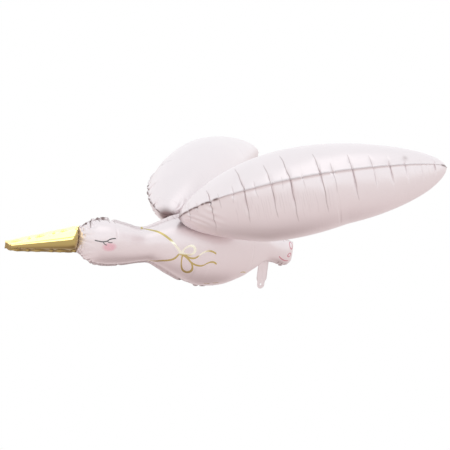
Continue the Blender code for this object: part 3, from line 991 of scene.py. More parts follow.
# Where the ribbon turns pale, a painted highlight: the axis of the flat pattern, where that begins and where
# it is full
RIBBON_HIGHLIGHT_AREA = (("Y", 0.140, 0.147), ("Y", 0.202, 0.190), ("X", 0.630, 0.600))
EYE_LINES = (
    (0.0048, ((0.0855, 0.1780), (0.1015, 0.1762), (0.1200, 0.1755), (0.1370, 0.1800), (0.1475, 0.1870),
              (0.1740, 0.1925))),
    (0.0036, ((0.1185, 0.1750), (0.1255, 0.1670), (0.1355, 0.1625))),
    (0.0036, ((0.1370, 0.1790), (0.1465, 0.1740), (0.1590, 0.1750))),
)
CHEEK = (0.1500, 0.1550, 4.0, 0.0370, 0.0215, 0.0, 0.004)
TAIL_LOOPS = (
    (1.1950, 0.2060, 90.0, 0.0180, 0.0165, 0.0, 0.0070),
    (1.1780, 0.1577, 20.0, 0.0130, 0.0085, 0.0, 0.0065),
)
TAIL_LINES = ((0.0060, ((1.1180, 0.1460), (1.1460, 0.1300), (1.1780, 0.1270))),)

# Colours of the prints, and how strongly they cover the film
GILT = (0.57, 0.43, 0.14, 1.0)
# Colour of the painted highlight on the ribbon
GILT_HIGHLIGHT = (1.0, 0.96, 0.80, 1.0)
INK = (0.05, 0.05, 0.055, 1.0)
INK_COVER = 0.95
CHEEK_PINK = (0.86, 0.42, 0.50, 1.0)
TAIL_PINK = (0.66, 0.24, 0.30, 1.0)
PINK_COVER = 0.85
# The cheek fades in over this share of its radius, and is printed in fine dots
CHEEK_FADE = 0.45
DOT_SCALE = 420.0
DOT_EDGES = (0.32, 0.50)
# How much smoother the gilt is than the film, and its coat
GILT_SMOOTHER = 0.16
GILT_COAT = 0.8


def line_mask(build, pattern, width, points):
    """Mask of one printed line that passes through points of the flat pattern."""
    start, end = Vector(points[0]), Vector(points[-1])
    length = (end - start).length
    angle = math.atan2(end.y - start.y, end.x - start.x)
    parts = build.parts(build.placed(pattern, start.x, start.y, angle))
    along = build.math("DIVIDE", parts["X"], length)
    bend = build.add("ShaderNodeFloatCurve", {"Factor": 1.0, "Value": along})
    curve = bend.mapping.curves[0]
    turn = Matrix.Rotation(-angle, 2)
    for number, point in enumerate(points):
        place = turn @ (Vector(point) - start)
        spot = (place.x / length, 0.5 + place.y / length)
        if number in (0, len(points) - 1):
            curve.points[0 if number == 0 else -1].location = spot
        else:
            curve.points.new(*spot)
    bend.mapping.update()
    bow = build.math("MULTIPLY", build.math("SUBTRACT", bend.outputs["Value"], 0.5), length)
    off = build.math("SUBTRACT", parts["Y"], bow)
    inputs = {"Along": along, "Off": off, "Length": length, "Width": width}
    return build.group("printed_line", stroke_group, inputs)["Mask"]


def loop_masks(build, pattern, x, y, angle, long, short, taper, width):
    """Masks of one printed loop on the flat pattern."""
    place = build.placed(pattern, x, y, math.radians(angle))
    inputs = {"Place": place, "Long": long, "Short": short, "Taper": taper, "Width": width}
    return build.group("printed_loop", loop_group, inputs)


def print_of(build, pattern, lines, loops=()):
    """Mask of a whole print, the strongest of its lines' and loops' masks."""
    masks = [line_mask(build, pattern, *line) for line in lines]
    masks += [loop_masks(build, pattern, *loop)["Mask"] for loop in loops]
    total = masks[0]
    for mask in masks[1:]:
        total = build.math("MAXIMUM", total, mask)
    return total


def add_prints(build, pattern, looks):
    """Print the cheek, the tail marks, the ribbon and the eye over a film's looks, with a painted highlight
    on the ribbon.
    """
    ribbon = print_of(build, pattern, RIBBON_LINES, RIBBON_LOOPS)
    eye = print_of(build, pattern, EYE_LINES)
    tail = print_of(build, pattern, TAIL_LINES, TAIL_LOOPS)
    blush = build.ramp(loop_masks(build, pattern, *CHEEK)["Inside"], 0.0, CHEEK_FADE)
    dots = build.ramp(build.noise(pattern, DOT_SCALE, 1.0), *DOT_EDGES)
    blush = build.math("MULTIPLY", build.math("MULTIPLY", blush, PINK_COVER), dots)
    places = build.parts(pattern)
    # Painted highlight: the ribbon turns pale where it would reflect the light
    pale = 1.0
    for axis, none, full in RIBBON_HIGHLIGHT_AREA:
        pale = build.math("MULTIPLY", pale, build.ramp(places[axis], none, full))
    tone = build.mix(blush, looks["Base Color"], CHEEK_PINK)
    tone = build.mix(build.math("MULTIPLY", tail, PINK_COVER), tone, TAIL_PINK)
    tone = build.mix(ribbon, tone, build.mix(pale, GILT, GILT_HIGHLIGHT))
    looks["Base Color"] = build.mix(build.math("MULTIPLY", eye, INK_COVER), tone, INK)
    metal = build.math("MULTIPLY_ADD", ribbon, 1.0 - looks["Metallic"], looks["Metallic"])
    looks["Metallic"] = build.math("MULTIPLY", metal, build.math("SUBTRACT", 1.0, eye))
    looks["Roughness"] = build.math("MULTIPLY_ADD", ribbon, -GILT_SMOOTHER, looks["Roughness"])
    looks["Coat Weight"] = build.math("MULTIPLY", ribbon, GILT_COAT)


def foil_material(name, colour, painted_shade_colour, pleats, crinkle, prints=None, **looks):
    """A metallised film: its looks, with any prints, painted shade in its creases and along its seams, a
    matter weld and fine relief.
    """
    material = bpy.data.materials.new(name)
    material.use_nodes = True
    build = Nodes(material.node_tree)
    looks = {label.replace("_", " "): value for label, value in looks.items()}
    pattern = build.add("ShaderNodeUVMap", uv_map="flat_pattern").outputs["UV"]
    # The crease attribute holds painted shade: of folds, seams, the wings' contact with the body and the
    # beak's weld and tip
    weld, crease = (build.add("ShaderNodeAttribute", attribute_name=label).outputs["Fac"]
                    for label in ("weld", "crease"))
    film = build.group("foil_film", film_group, {
        "Pattern": pattern, "Weld": weld, "Painted Shade": crease, "Foil Color": (*colour, 1.0),
        "Deep Color": (*(DEEP_FOIL * part for part in colour), 1.0),
        "Painted Shade Color": (*painted_shade_colour, 1.0), "Roughness": looks["Roughness"],
    })
    looks.update({"Base Color": film["Color"], "Roughness": film["Roughness"]})
    if prints:
        prints(build, pattern, looks)
    relief = build.group("foil_relief", relief_group, {
        "Pattern": pattern, "Pleats": pleats, "Crinkle": crinkle, "Weld": film["Weld"],
    })
    bump = build.add("ShaderNodeBump", {"Height": relief["Height"], "Strength": 1.0, "Distance": 1.0})
    looks["Normal"] = bump.outputs["Normal"]
    build.fill(material.node_tree.nodes["Principled BSDF"], looks)
    return material


# Colours of the painted shade on the pink and the gold foil
PINK_PAINTED_SHADE = (0.20, 0.12, 0.115)
GOLD_PAINTED_SHADE = (0.20, 0.09, 0.02)
COAT_IOR = 1.8


def pink_foil(name):
    return foil_material(name, foil_settings().pale, PINK_PAINTED_SHADE, 0.0006, 0.0001,
                         Metallic=0.6, Roughness=0.34)


def printed_foil(name):
    return foil_material(name, foil_settings().pink, PINK_PAINTED_SHADE, 0.0001, 0.0001, prints=add_prints,
                         Metallic=0.6, Roughness=0.34, Coat_IOR=COAT_IOR, Coat_Roughness=0.08)


def gold_foil(name):
    return foil_material(name, foil_settings().gold, GOLD_PAINTED_SHADE, 0.0, 0.00005, Metallic=1.0,
                         Roughness=0.07, Coat_Weight=1.0, Coat_IOR=COAT_IOR, Coat_Roughness=0.04)


def material_named(name, make):
    """The material of a name, made at its first use."""
    return bpy.data.materials.get(name) or make(name)


# Pieces

def places_along(rng, start, stop, steps):
    """Places from start to stop, each a random step past the last."""
    place = start
    while place < stop:
        yield place
        place += rng.uniform(*steps)


# In the values below, a pair is the lowest and the highest of a random value.
FOLD_WIDTH = 0.0035

# Body: its seams crease more closely on the head, so steps are for the head and for the rest
BODY_SEED = 11
HEAD_STRETCH = 0.15
BODY_CREASE_STEPS = ((0.016, 0.026), (0.022, 0.040))
BODY_CREASE_DEPTH = (0.001, 0.003)
BODY_LEAST_DEPTH = 0.0012
BODY_CREASE_REACH = (0.02, 0.06)
HEAD_REACH, REAR_REACH = 0.8, 1.2
BODY_CREASE_WIDTH = 0.009
BODY_CREASE_LEAN = (-0.15, 0.15)
BODY_UNEVENNESS = 0.00005
BODY_FOLD_STEPS = ((0.013, 0.022), (0.014, 0.030))
BODY_FOLD_DEPTH = 0.0016
BODY_FOLD_REACH = (0.010, 0.034)
BODY_FOLD_LEAN = (-0.2, 0.2)
END_FOLDS = ((0, 18), (1, 12))
END_FOLD_DEPTH = 0.0013
END_FOLD_REACH = 0.030
# Stretches of the body's seams, behind the head weld, whose margin is folded, with painted shade along it:
# place, length
HEAD_CRIMPS = ((0.022, 0.013), (0.045, 0.012), (0.073, 0.016), (0.103, 0.020))
BELLY_CRIMPS = (
    (0.516, 0.014), (0.546, 0.010), (0.624, 0.016), (0.646, 0.014), (0.668, 0.018), (0.698, 0.014),
    (0.716, 0.012), (0.744, 0.012),
)
CRIMP_DEPTH = 0.0016
CRIMP_REACH = 0.009
CRIMP_SHADE = 0.005
# Where the body's margin begins to narrow, and over what stretch, as shares of its length
NARROW_FROM = 0.48
NARROW_OVER = 0.1
BODY_MARGIN_WAVE = 0.10


class STORK_OT_body(bpy.types.Operator):
    """Inflate the body envelope: head, neck, torso and tail"""

    bl_idname = "stork.body"
    bl_label = "Body"

    def execute(self, context):
        body, foil = context.scene.stork_body, context.scene.stork_foil
        front = body.tail - body.length
        head_end = front + HEAD_STRETCH
        cushion = Cushion(front + eased(body.rings) * body.length, body_section, body.columns, BODY_EDGE)
        rng = np.random.default_rng(BODY_SEED)

        def seam_places(steps, after_head, before_tail):
            """Places along both seams, each with how far the seam bows out there."""
            for seam, measure in ((1, TOP_SEAM), (-1, BOTTOM_SEAM)):
                place = front + after_head
                while place < body.tail - before_tail:
                    yield seam, place, float(bowed_out(np.array([place]), measure)[0])
                    place += rng.uniform(*steps[0 if place < head_end else 1])

        for seam, place, bow in seam_places(BODY_CREASE_STEPS, after_head=0.012, before_tail=0.020):
            depth = bow * rng.uniform(*BODY_CREASE_DEPTH)
            share = HEAD_REACH if place < head_end else REAR_REACH
            reach = rng.uniform(*BODY_CREASE_REACH, 2) * share * (0.5 + bow)
            if depth > BODY_LEAST_DEPTH:
                lean = rng.uniform(*BODY_CREASE_LEAN, 2)
                cushion.crease(seam, place, depth, reach, BODY_CREASE_WIDTH, lean)
        cushion.end_creases(0, count=6, depth=0.005, reach=0.050, phase=0.2)
        cushion.end_creases(1, count=4, depth=0.004, reach=0.040, phase=0.4)
        cushion.draw_in()
        start = cushion.points + rng.normal(0.0, BODY_UNEVENNESS, cushion.points.shape)
        hold_ends(start, cushion.points)
        points = inflate(cushion, start, hold_ends, push=0.00003, slack=0.25, guide=0.08, stiffness=0.35)
        points = cushion.refine(points, 2)
        for seam, place, bow in seam_places(BODY_FOLD_STEPS, after_head=0.010, before_tail=0.012):
            reach = rng.uniform(*BODY_FOLD_REACH, 2) * (0.4 + bow)
            lean = rng.uniform(*BODY_FOLD_LEAN, 2)
            cushion.sharp_fold(seam, place, BODY_FOLD_DEPTH * bow, reach, FOLD_WIDTH, lean)
        for seam, crimps in ((1, HEAD_CRIMPS), (-1, BELLY_CRIMPS)):
            for place, length in crimps:
                reach = (CRIMP_REACH, CRIMP_REACH)
                # Painted shade along the folded margin
                cushion.shade_seam(seam, front + place, length, CRIMP_SHADE)
                cushion.sharp_fold(seam, front + place, CRIMP_DEPTH, reach, 0.5 * length)
        for end, count in END_FOLDS:
            cushion.end_folds(end, count, END_FOLD_DEPTH, END_FOLD_REACH, rng)
        level = emboss(points, cushion.fold)[..., [0, 2, 1]] * (1.0, -1.0, 1.0)
        ends = [(0, (-1.0, 0.0, 0.0), "flush"), (len(level) - 1, (1.0, 0.0, 0.0), "flush")]
        share = (cushion.spine - front) / body.length
        narrowed = np.clip(share - NARROW_FROM, 0.0, NARROW_OVER) / NARROW_OVER
        margin = foil.margin * (1.0 - 0.5 * narrowed)
        grid, pattern, weld, dent = skin_grid(cushion, level, margin, foil.edge, BODY_MARGIN_WAVE, ends)
        piece = skin_object("body_skin", in_flight(grid), pattern, weld, dent,
                            material_named("printed_pink_foil", printed_foil))
        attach(piece, "root")
        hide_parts("body")
        return {"FINISHED"}


# Filling tab: size of its mesh cells, how it bows and ripples where it hangs free, how soon it is
# free below the body, and where it lies on the foil's pattern
TAB_CELL = 0.005
TAB_BOW = 0.0012
TAB_RIPPLE = 0.00035
RIPPLE_ACROSS = 260.0
RIPPLE_DOWN = 55.0
TAB_FREE_OVER = 0.06
TAB_ON_PATTERN = 0.7
TAB_END_STEPS = 25
HOLE_SIDES = 32
# Direction along which its corners and faces are put in order
TAB_ORDER = Vector((1.0, 37.1, 0.6180))


class STORK_OT_tab(bpy.types.Operator):
    """Cut the flat filling tab with its ribbon hole"""

    bl_idname = "stork.tab"
    bl_label = "Filling tab"

    def execute(self, context):
        tab, foil = context.scene.stork_tab, context.scene.stork_foil
        middle, half, _ = (float(v[0]) for v in body_section(np.array([0.0])))
        top = middle - half + tab.overlap
        radius, shoulder = tab.end_width / 2, tab.shoulder
        bm = bmesh.new()
        outline = [(tab.width / 2, top), (tab.width / 2, shoulder + tab.drop), (radius, shoulder)]
        angles = np.linspace(0.0, -math.pi, TAB_END_STEPS)
        outline += [(radius * math.cos(angle), radius * math.sin(angle)) for angle in angles]
        outline += [(-radius, shoulder), (-tab.width / 2, shoulder + tab.drop), (-tab.width / 2, top)]
        rim = [bm.verts.new((x, 0.0, z)) for x, z in outline]
        edges = [bm.edges.new((a, b)) for a, b in zip(rim, rim[1:] + rim[:1])]
        hole = bmesh.ops.create_circle(bm, radius=tab.hole / 2, segments=HOLE_SIDES,
                                       matrix=Matrix.Rotation(math.pi / 2, 4, "X"))["verts"]
        edges += dict.fromkeys(edge for vert in hole for edge in vert.link_edges)
        bmesh.ops.triangle_fill(bm, use_beauty=True, edges=edges)
        for axis, first, last in ((0, -tab.width / 2, tab.width / 2), (2, -radius, top)):
            count = round((last - first) / TAB_CELL)
            for number in range(1, count):
                place, normal = [0.0] * 3, [0.0] * 3
                place[axis], normal[axis] = first + (last - first) * number / count, 1.0
                bmesh.ops.bisect_plane(bm, geom=bm.verts[:] + bm.edges[:] + bm.faces[:], dist=SAME_PLACE,
                                       plane_co=place, plane_no=normal)
        sheet = bmesh.ops.extrude_face_region(bm, geom=bm.faces[:])["geom"]
        front = [item for item in sheet if isinstance(item, bmesh.types.BMVert)]
        bmesh.ops.translate(bm, verts=bm.verts, vec=(0.0, foil.edge / 2, 0.0))
        bmesh.ops.translate(bm, verts=front, vec=(0.0, -foil.edge, 0.0))
        uv = bm.loops.layers.uv.new("flat_pattern")
        weld = bm.verts.layers.float.new("weld")
        bm.verts.layers.float.new("crease")
        for face in bm.faces:
            face.smooth = abs(face.normal.y) > 0.5
            for loop in face.loops:
                loop[uv].uv = (loop.vert.co.x + TAB_ON_PATTERN, loop.vert.co.z)
        for vert in bm.verts:
            x, z = vert.co.x, vert.co.z
            rim_gap = tab.width / 2 - abs(x)
            vert[weld] = min(max(1.0 - rim_gap / foil.margin, 0.0), 1.0)
            free = min(max((top - tab.overlap - z) / TAB_FREE_OVER, 0.0), 1.0)
            bow = TAB_BOW * free * math.cos(math.pi * x / tab.width)
            ripple = TAB_RIPPLE * free * math.sin(RIPPLE_ACROSS * x + RIPPLE_DOWN * z)
            vert.co.y += bow + ripple
        bmesh.ops.rotate(bm, verts=bm.verts, cent=(0.0, 0.0, 0.0), matrix=Matrix.Rotation(NOSE_UP, 3, "Y"))
        # The operators above leave them in an order that differs from run to run
        bm.verts.sort(key=lambda vert: vert.co.dot(TAB_ORDER))
        bm.faces.sort(key=lambda face: face.calc_center_median().dot(TAB_ORDER))
        piece = piece_from(bm, "filling_tab", material_named("satin_pink_foil", pink_foil))
        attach(piece, "root")
        return {"FINISHED"}


# Beak: passes that even out its mirror-bright foil, and the waves of its margin
BEAK_SEED = 5
BEAK_SMOOTHING = 12
BEAK_CRIMP_TURNS = 125.0
BEAK_MARGIN_WAVE = 0.42
# Its creases: the seam, their depth and the steps between them
BEAK_CREASES = ((1, (0.0006, 0.0014), (0.024, 0.034)), (-1, (0.0012, 0.0020), (0.034, 0.050)))
BEAK_CREASE_REACH = (0.012, 0.035)
BEAK_CREASE_WIDTH = 0.014
BEAK_CREASE_LEAN = (-0.2, 0.2)
BEAK_FOLD_DEPTH = 0.0008
BEAK_FOLD_REACH = (0.010, 0.024)
BEAK_FOLD_LEAN = (-0.4, 0.4)
BEAK_FOLD_STEPS = (0.018, 0.034)
BEAK_END_FOLDS = 9
BEAK_END_REACH = 0.020
# Marks of painted shade round the head weld, how far they reach, and the painted shade of the pinched tip
MARKS_AROUND = 7.0
MARKS_REACH = 0.005
TIP_SHADE = 0.55
TIP_SHADE_REACH = 0.012


class STORK_OT_beak(bpy.types.Operator):
    """Inflate the gold beak"""

    bl_idname = "stork.beak"
    bl_label = "Beak"

    def execute(self, context):
        body, foil, beak = context.scene.stork_body, context.scene.stork_foil, context.scene.stork_beak
        cushion = Cushion(eased(beak.rings) * beak.length, beak_section, beak.columns)
        rng = np.random.default_rng(BEAK_SEED)
        for seam, depths, steps in BEAK_CREASES:
            for place in places_along(rng, 0.012, beak.length - 0.010, steps):
                depth, reach = rng.uniform(*depths), rng.uniform(*BEAK_CREASE_REACH, 2)
                lean = rng.uniform(*BEAK_CREASE_LEAN, 2)
                cushion.crease(seam, place, depth, reach, BEAK_CREASE_WIDTH, lean)
        cushion.end_creases(0, count=4, depth=0.004, reach=0.030, phase=0.1)
        cushion.end_creases(1, count=3, depth=0.003, reach=0.018, phase=0.3)
        cushion.draw_in()
        points = inflate(cushion, cushion.points, hold_ends, push=0.00002, slack=0.4, guide=0.08,
                         stiffness=0.50)
        points = smoothed(points, BEAK_SMOOTHING)
        sheets = [column for column in range(2 * beak.columns) if column % beak.columns]
        for _ in range(BEAK_SMOOTHING):
            beside = 0.5 * (np.roll(points, 1, axis=1) + np.roll(points, -1, axis=1))
            points[1:-1, sheets] = 0.5 * (points + beside)[1:-1, sheets]
        points = cushion.refine(points, 2)
        for seam in (1, -1):
            for place in places_along(rng, 0.010, beak.length - 0.008, BEAK_FOLD_STEPS):
                reach, lean = rng.uniform(*BEAK_FOLD_REACH, 2), rng.uniform(*BEAK_FOLD_LEAN, 2)
                cushion.sharp_fold(seam, place, BEAK_FOLD_DEPTH, reach, FOLD_WIDTH, lean)
        cushion.end_folds(0, BEAK_END_FOLDS, BEAK_FOLD_DEPTH, BEAK_END_REACH, rng)
        # Painted shade: marks round the head weld and at the pinched tip
        distance = cushion.spine[:, None]
        around = np.arange(2 * beak.columns)[None, :] / beak.columns
        marks = 0.5 + 0.5 * np.sin(np.pi * MARKS_AROUND * around + 1.0)
        marks = marks * np.exp(-((distance / MARKS_REACH) ** 2))
        pinch_shade = TIP_SHADE * np.exp(-(((beak.length - distance) / TIP_SHADE_REACH) ** 2))
        cushion.shade = np.maximum(np.maximum(cushion.shade, marks), pinch_shade)
        level = emboss(points, cushion.fold)[..., [0, 2, 1]] * (-1.0, -1.0, 1.0)
        level[..., 0] += body.tail - body.length - foil.gap
        ends = [(0, (1.0, 0.0, 0.0), "flush"), (len(level) - 1, (-1.0, 0.0, 0.0), "margin")]
        grid, pattern, weld, dent = skin_grid(cushion, level, foil.margin, foil.edge, BEAK_MARGIN_WAVE,
                                              ends, BEAK_CRIMP_TURNS)
        piece = skin_object("beak_skin", in_flight(grid), pattern, weld, dent,
                            material_named("mirror_gold_foil", gold_foil))
        lit = bpy.data.collections.get("lit_by_beak_lights")
        if lit:
            lit.objects.link(piece)
        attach(piece, "root")
        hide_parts("beak")
        return {"FINISHED"}


# Creases that cross the leading seam: place along the wing, reach on the upper and the lower sheet
WING_CREASES = (
    (0.046, 0.020, 0.056),
    (0.079, 0.012, 0.025),
    (0.133, 0.070, 0.142),
    (0.167, 0.025, 0.045),
    (0.217, 0.040, 0.035),
    (0.258, 0.157, 0.140),
    (0.296, 0.030, 0.040),
    (0.354, 0.112, 0.150),
    (0.392, 0.020, 0.030),
    (0.421, 0.145, 0.184),
    (0.465, 0.012, 0.045),
    (0.528, 0.112, 0.164),
    (0.571, 0.043, 0.085),
    (0.640, 0.079, 0.132),
    (0.712, 0.052, 0.075),
    (0.775, 0.022, 0.064),
    (0.830, 0.015, 0.030),
    (0.887, 0.020, 0.028),
    (0.945, 0.018, 0.022),
)


# Each wing's node, its side and its seed
WINGS = (("left_wing", -1.0, 21), ("right_wing", 1.0, 34))
# Creases of the leading seam: how far the right wing's stand off the places above, as a share of its
# length, from what reach a crease is long, the long ones' lean on the upper and the lower sheet, and
# the others' lean
WING_SHIFT = (-0.012, 0.012)
LONG_REACH = 0.04
LONG_LEAN = (-0.14, 0.01)
WING_LEAN = (-0.15, 0.15)
WING_CREASE_WIDTH = 0.012
WING_FOLD_WIDTH = 0.0030
# Depth of such a crease, and of its narrow fold: the least, and more for each metre of reach
WING_CREASE_DEPTH = (0.002, 0.030)
WING_FOLD_DEPTH = (0.0003, 0.0042)
# Creases of the trailing seam, with their reach on the upper and the lower sheet
TRAIL_STEPS = (0.035, 0.075)
TRAIL_REACH = ((0.02, 0.06), (0.02, 0.10))
TRAIL_LEAN = (-0.1, 0.1)
TRAIL_DEPTH = (0.002, 0.005)
TRAIL_FOLD_DEPTH = 0.0008
# Fine pleats on the lower sheet, in metres along the wing and out from the leading seam
PLEATS_FROM = 0.26
PLEATS_TO = 0.66
PLEAT_STEPS = (0.007, 0.014)
PLEAT_BEGIN = (0.025, 0.070)
PLEAT_LENGTH = (0.04, 0.11)
PLEAT_DEPTH = (0.00006, 0.0002)
# Stretches of painted shade along the leading seam by the root, up to a share of the wing
SHADED_SEAM = 0.17
SHADED_LENGTH = (0.008, 0.030)
SHADED_WIDTH = 0.0045
# Widest gap between them: at the root, and more for each metre along the wing
SHADED_GAP = (0.006, 0.10)
# Share of the wing at which the stretch of painted shade by the tip lies, and its length
TIP_STRETCH = (0.985, 0.030)
# Dent near the tip, on the upper sheet, with painted shade as on the folds: share along the wing, distance
# from its seam, depth, radius
DIMPLE = (0.835, 0.030, 0.0004, 0.011)
# Width of the margin at the root, and how much of it is lost by the tip, as shares of the body's
WING_MARGIN = 0.60
MARGIN_LOSS = 0.35
# Painted shade of the foil that lies against the body, over how small a gap, and how far the painted shade of
# the pinched root reaches
CONTACT_SHADE = 0.3
CONTACT_GAP = 0.0015
ROOT_SHADE_REACH = 0.012


def wing_frame(side):
    """Root corner, and the wing's directions along, forward and up, on the level bird."""
    body, wing = body_settings(), bpy.context.scene.stork_wing
    shoulder = body.tail - body.length + wing.root
    middle, half, thick = (float(v[0]) for v in body_section(np.array([shoulder])))
    reach = 1.0 + wing.root_standoff / thick
    root = Vector((shoulder, side * thick * reach * math.cos(wing.root_angle),
                   middle + half * reach * math.sin(wing.root_angle)))
    outward = Vector((0.0, side * math.cos(wing.dihedral), math.sin(wing.dihedral)))
    rearward = Vector((1.0, 0.0, 0.0))
    length = rearward * math.sin(wing.sweep) + outward * math.cos(wing.sweep)
    lead = outward * math.sin(wing.sweep) - rearward * math.cos(wing.sweep)
    lead = Matrix.Rotation(side * wing.incidence, 3, length) @ lead
    upper = length.cross(lead)
    if upper.z < 0:
        upper.negate()
    return np.array(root), np.array((length, lead, upper))


def body_reach(points):
    """How far out points lie: 1 on the body's foil; also which are beside it, its middle and thickness."""
    body = body_settings()
    x, y, z = points[..., 0], points[..., 1], points[..., 2]
    inside = (x > body.tail - body.length) & (x < body.tail)
    middle, half, thick = body_section(np.where(inside, x, 0.0))
    thick = np.maximum(thick, 0.01)
    reach = np.sqrt(((z - middle) / half) ** 2 + np.abs(y / thick) ** (1.0 / BODY_EDGE)) + SAME_PLACE
    return reach, inside, middle, thick


def contact_shade(points):
    """Painted shade for the foil of a wing that lies against the body."""
    reach, inside, _, thick = body_reach(points)
    gap = (reach - 1.0) * thick - bpy.context.scene.stork_wing.clearance
    return np.where(inside, CONTACT_SHADE * np.exp(-((gap / CONTACT_GAP) ** 2)), 0.0)


def press(points, side, softly):
    """Hold a wing's points clear of the body and on their own side; softly bends, else it stops them."""
    wing = bpy.context.scene.stork_wing
    y, z = points[..., 1], points[..., 2]
    reach, inside, middle, thick = body_reach(points)
    floor = 1.0 + wing.clearance / thick
    if softly:
        soft = wing.press / thick
        pressed = floor + soft * np.exp((np.minimum(reach, floor + soft) - floor - soft) / soft)
        grow = np.where(inside & (reach < floor + soft), pressed / reach, 1.0)
    else:
        grow = np.where(inside & (reach < floor), floor / reach, 1.0)
    points[..., 1] = y * grow
    points[..., 2] = middle * (1.0 - grow) + z * grow
    off = points[..., 1] * side
    if softly:
        near = wing.centre * (1.0 + np.exp((np.abs(off) - 2 * wing.centre) / wing.centre))
        off = np.where(np.abs(off) < 2 * wing.centre, near, off)
    else:
        off = np.maximum(off, wing.centre)
    points[..., 1] = off * side


class STORK_OT_wings(bpy.types.Operator):
    """Inflate the two wings and lay them against the body"""

    bl_idname = "stork.wings"
    bl_label = "Wings"

    def execute(self, context):
        for name, side, seed in WINGS:
            self.make_wing(context, name, side, np.random.default_rng(seed))
        return {"FINISHED"}

    def crease_wing(self, cushion, length, side, rng):
        """Crease both seams; returns each one's creases, for the narrow folds to follow."""
        crossing, behind = [], []
        for share, *reach in WING_CREASES:
            place = (share + (0.0 if side < 0 else rng.uniform(*WING_SHIFT))) * length
            lean = LONG_LEAN if max(reach) > LONG_REACH else rng.uniform(*WING_LEAN, 2)
            crossing.append((place, reach, lean))
            depth = WING_CREASE_DEPTH[0] + WING_CREASE_DEPTH[1] * max(reach)
            cushion.crease(1, place, depth, reach, WING_CREASE_WIDTH, lean)
        for place in places_along(rng, 0.03, length - 0.03, TRAIL_STEPS):
            reach = [rng.uniform(*pair) for pair in TRAIL_REACH]
            behind.append((place, reach, rng.uniform(*TRAIL_LEAN, 2)))
        for place, reach, lean in behind:
            cushion.crease(-1, place, rng.uniform(*TRAIL_DEPTH), reach, WING_CREASE_WIDTH, lean)
        return crossing, behind

    def fold_wing(self, cushion, length, crossing, behind, rng):
        """Press the narrow folds and pleats into the inflated wing, and paint shade along stretches of its
        seam and at its root.
        """
        for place, reach, lean in crossing:
            depth = WING_FOLD_DEPTH[0] + WING_FOLD_DEPTH[1] * max(reach)
            cushion.sharp_fold(1, place, depth, reach, WING_FOLD_WIDTH, lean)
        for place, reach, lean in behind:
            cushion.sharp_fold(-1, place, TRAIL_FOLD_DEPTH, reach, WING_FOLD_WIDTH, lean)
        for place in places_along(rng, PLEATS_FROM, PLEATS_TO, PLEAT_STEPS):
            begin = rng.uniform(*PLEAT_BEGIN)
            reach = (0.0, begin + rng.uniform(*PLEAT_LENGTH))
            cushion.sharp_fold(1, place, rng.uniform(*PLEAT_DEPTH), reach, FOLD_WIDTH, LONG_LEAN, begin)
        # Painted shade along stretches of the leading seam, and one by the tip
        place = 0.0
        while place < SHADED_SEAM * length:
            stretch = rng.uniform(*SHADED_LENGTH)
            cushion.shade_seam(1, place, stretch, SHADED_WIDTH)
            place += stretch + rng.uniform(0.0, SHADED_GAP[0] + SHADED_GAP[1] * place)
        cushion.shade_seam(1, TIP_STRETCH[0] * length, TIP_STRETCH[1])
        # Painted shade at the pinched root
        pinch_shade = np.exp(-((cushion.spine[:, None] / ROOT_SHADE_REACH) ** 2))
        cushion.shade = np.maximum(cushion.shade, pinch_shade)
        share, *dent = DIMPLE
        cushion.dimple(0, share * length, *dent)

    def make_wing(self, context, name, side, rng):
        foil, wing = context.scene.stork_foil, context.scene.stork_wing
        spine = eased(wing.rings) * wing.length
        blunt = np.clip(spine / (wing.length * LENS_ENDS), 0.0, 1.0)
        edge = LENS_EDGE + (ELLIPSE_EDGE - LENS_EDGE) * blunt
        under = np.interp(spine / wing.length, *UNDER_SHARE)
        cushion = Cushion(spine, wing_section, wing.columns, edge, under)
        creases = self.crease_wing(cushion, wing.length, side, rng)
        cushion.draw_in()
        root, directions = wing_frame(side)
        start = root + cushion.points @ directions
        press(start, side, True)
        anchor = start[0].mean(axis=0)

        def hold(points, _target):
            """Keep the wing off the body, its root in place and its tip's columns together."""
            press(points, side, False)
            points[0] = anchor
            points[-1] = points[-1].mean(axis=0)

        points = inflate(cushion, start, hold, push=0.00003, slack=0.25, guide=0.05, stiffness=0.35)
        points = cushion.refine(points, 3)
        self.fold_wing(cushion, wing.length, *creases, rng)
        points = emboss(points, cushion.fold)
        ends = [(0, -directions[0], "point"), (len(points) - 1, directions[0], "point")]
        margin = foil.margin * (WING_MARGIN - MARGIN_LOSS * cushion.spine / wing.length)
        grid, pattern, weld, dent = skin_grid(cushion, points, margin, foil.edge, 0.0, ends)
        press(grid, side, False)
        # Painted shade where the wing lies against the body
        dent = np.maximum(dent, contact_shade(grid))
        piece = skin_object(f"{name}_skin", in_flight(grid), pattern, weld, dent,
                            material_named("satin_pink_foil", pink_foil))
        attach(piece, "root")
        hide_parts(name)


# Stage

def aim(item, place, target):
    """Stand an object at a place, looking at a target."""
    item.location = place
    item.rotation_euler = (Vector(target) - Vector(place)).to_track_quat("-Z", "Y").to_euler()


# Studio light: on the floor by the sine of the angle out from straight below, and over the dome by
# the sine of the height above the horizon
# The floor glows with this light, darkest straight below the bird: a painted shadow
FLOOR_LIGHT = (
    (0.00, (0.34, 0.26, 0.25)),
    (0.32, (0.42, 0.34, 0.33)),
    (0.55, (0.68, 0.60, 0.595)),
    (0.75, (0.82, 0.75, 0.74)),
    (1.00, (0.86, 0.82, 0.81)),
)
DOME_LIGHT = (
    (0.00, (0.86, 0.82, 0.81)),
    (0.10, (0.88, 0.85, 0.84)),
    (0.13, (1.11, 1.16, 1.17)),
    (0.50, (1.03, 1.09, 1.11)),
    (1.00, (0.98, 1.05, 1.07)),
)


# The height of the bird's middle above the floor, squared, from which the floor's angle is read
HEIGHT_SQUARED = 3.2
FLOOR_RADIUS = 60.0
FLOOR_SIDES = 96
SENSOR_WIDTH = 36.0

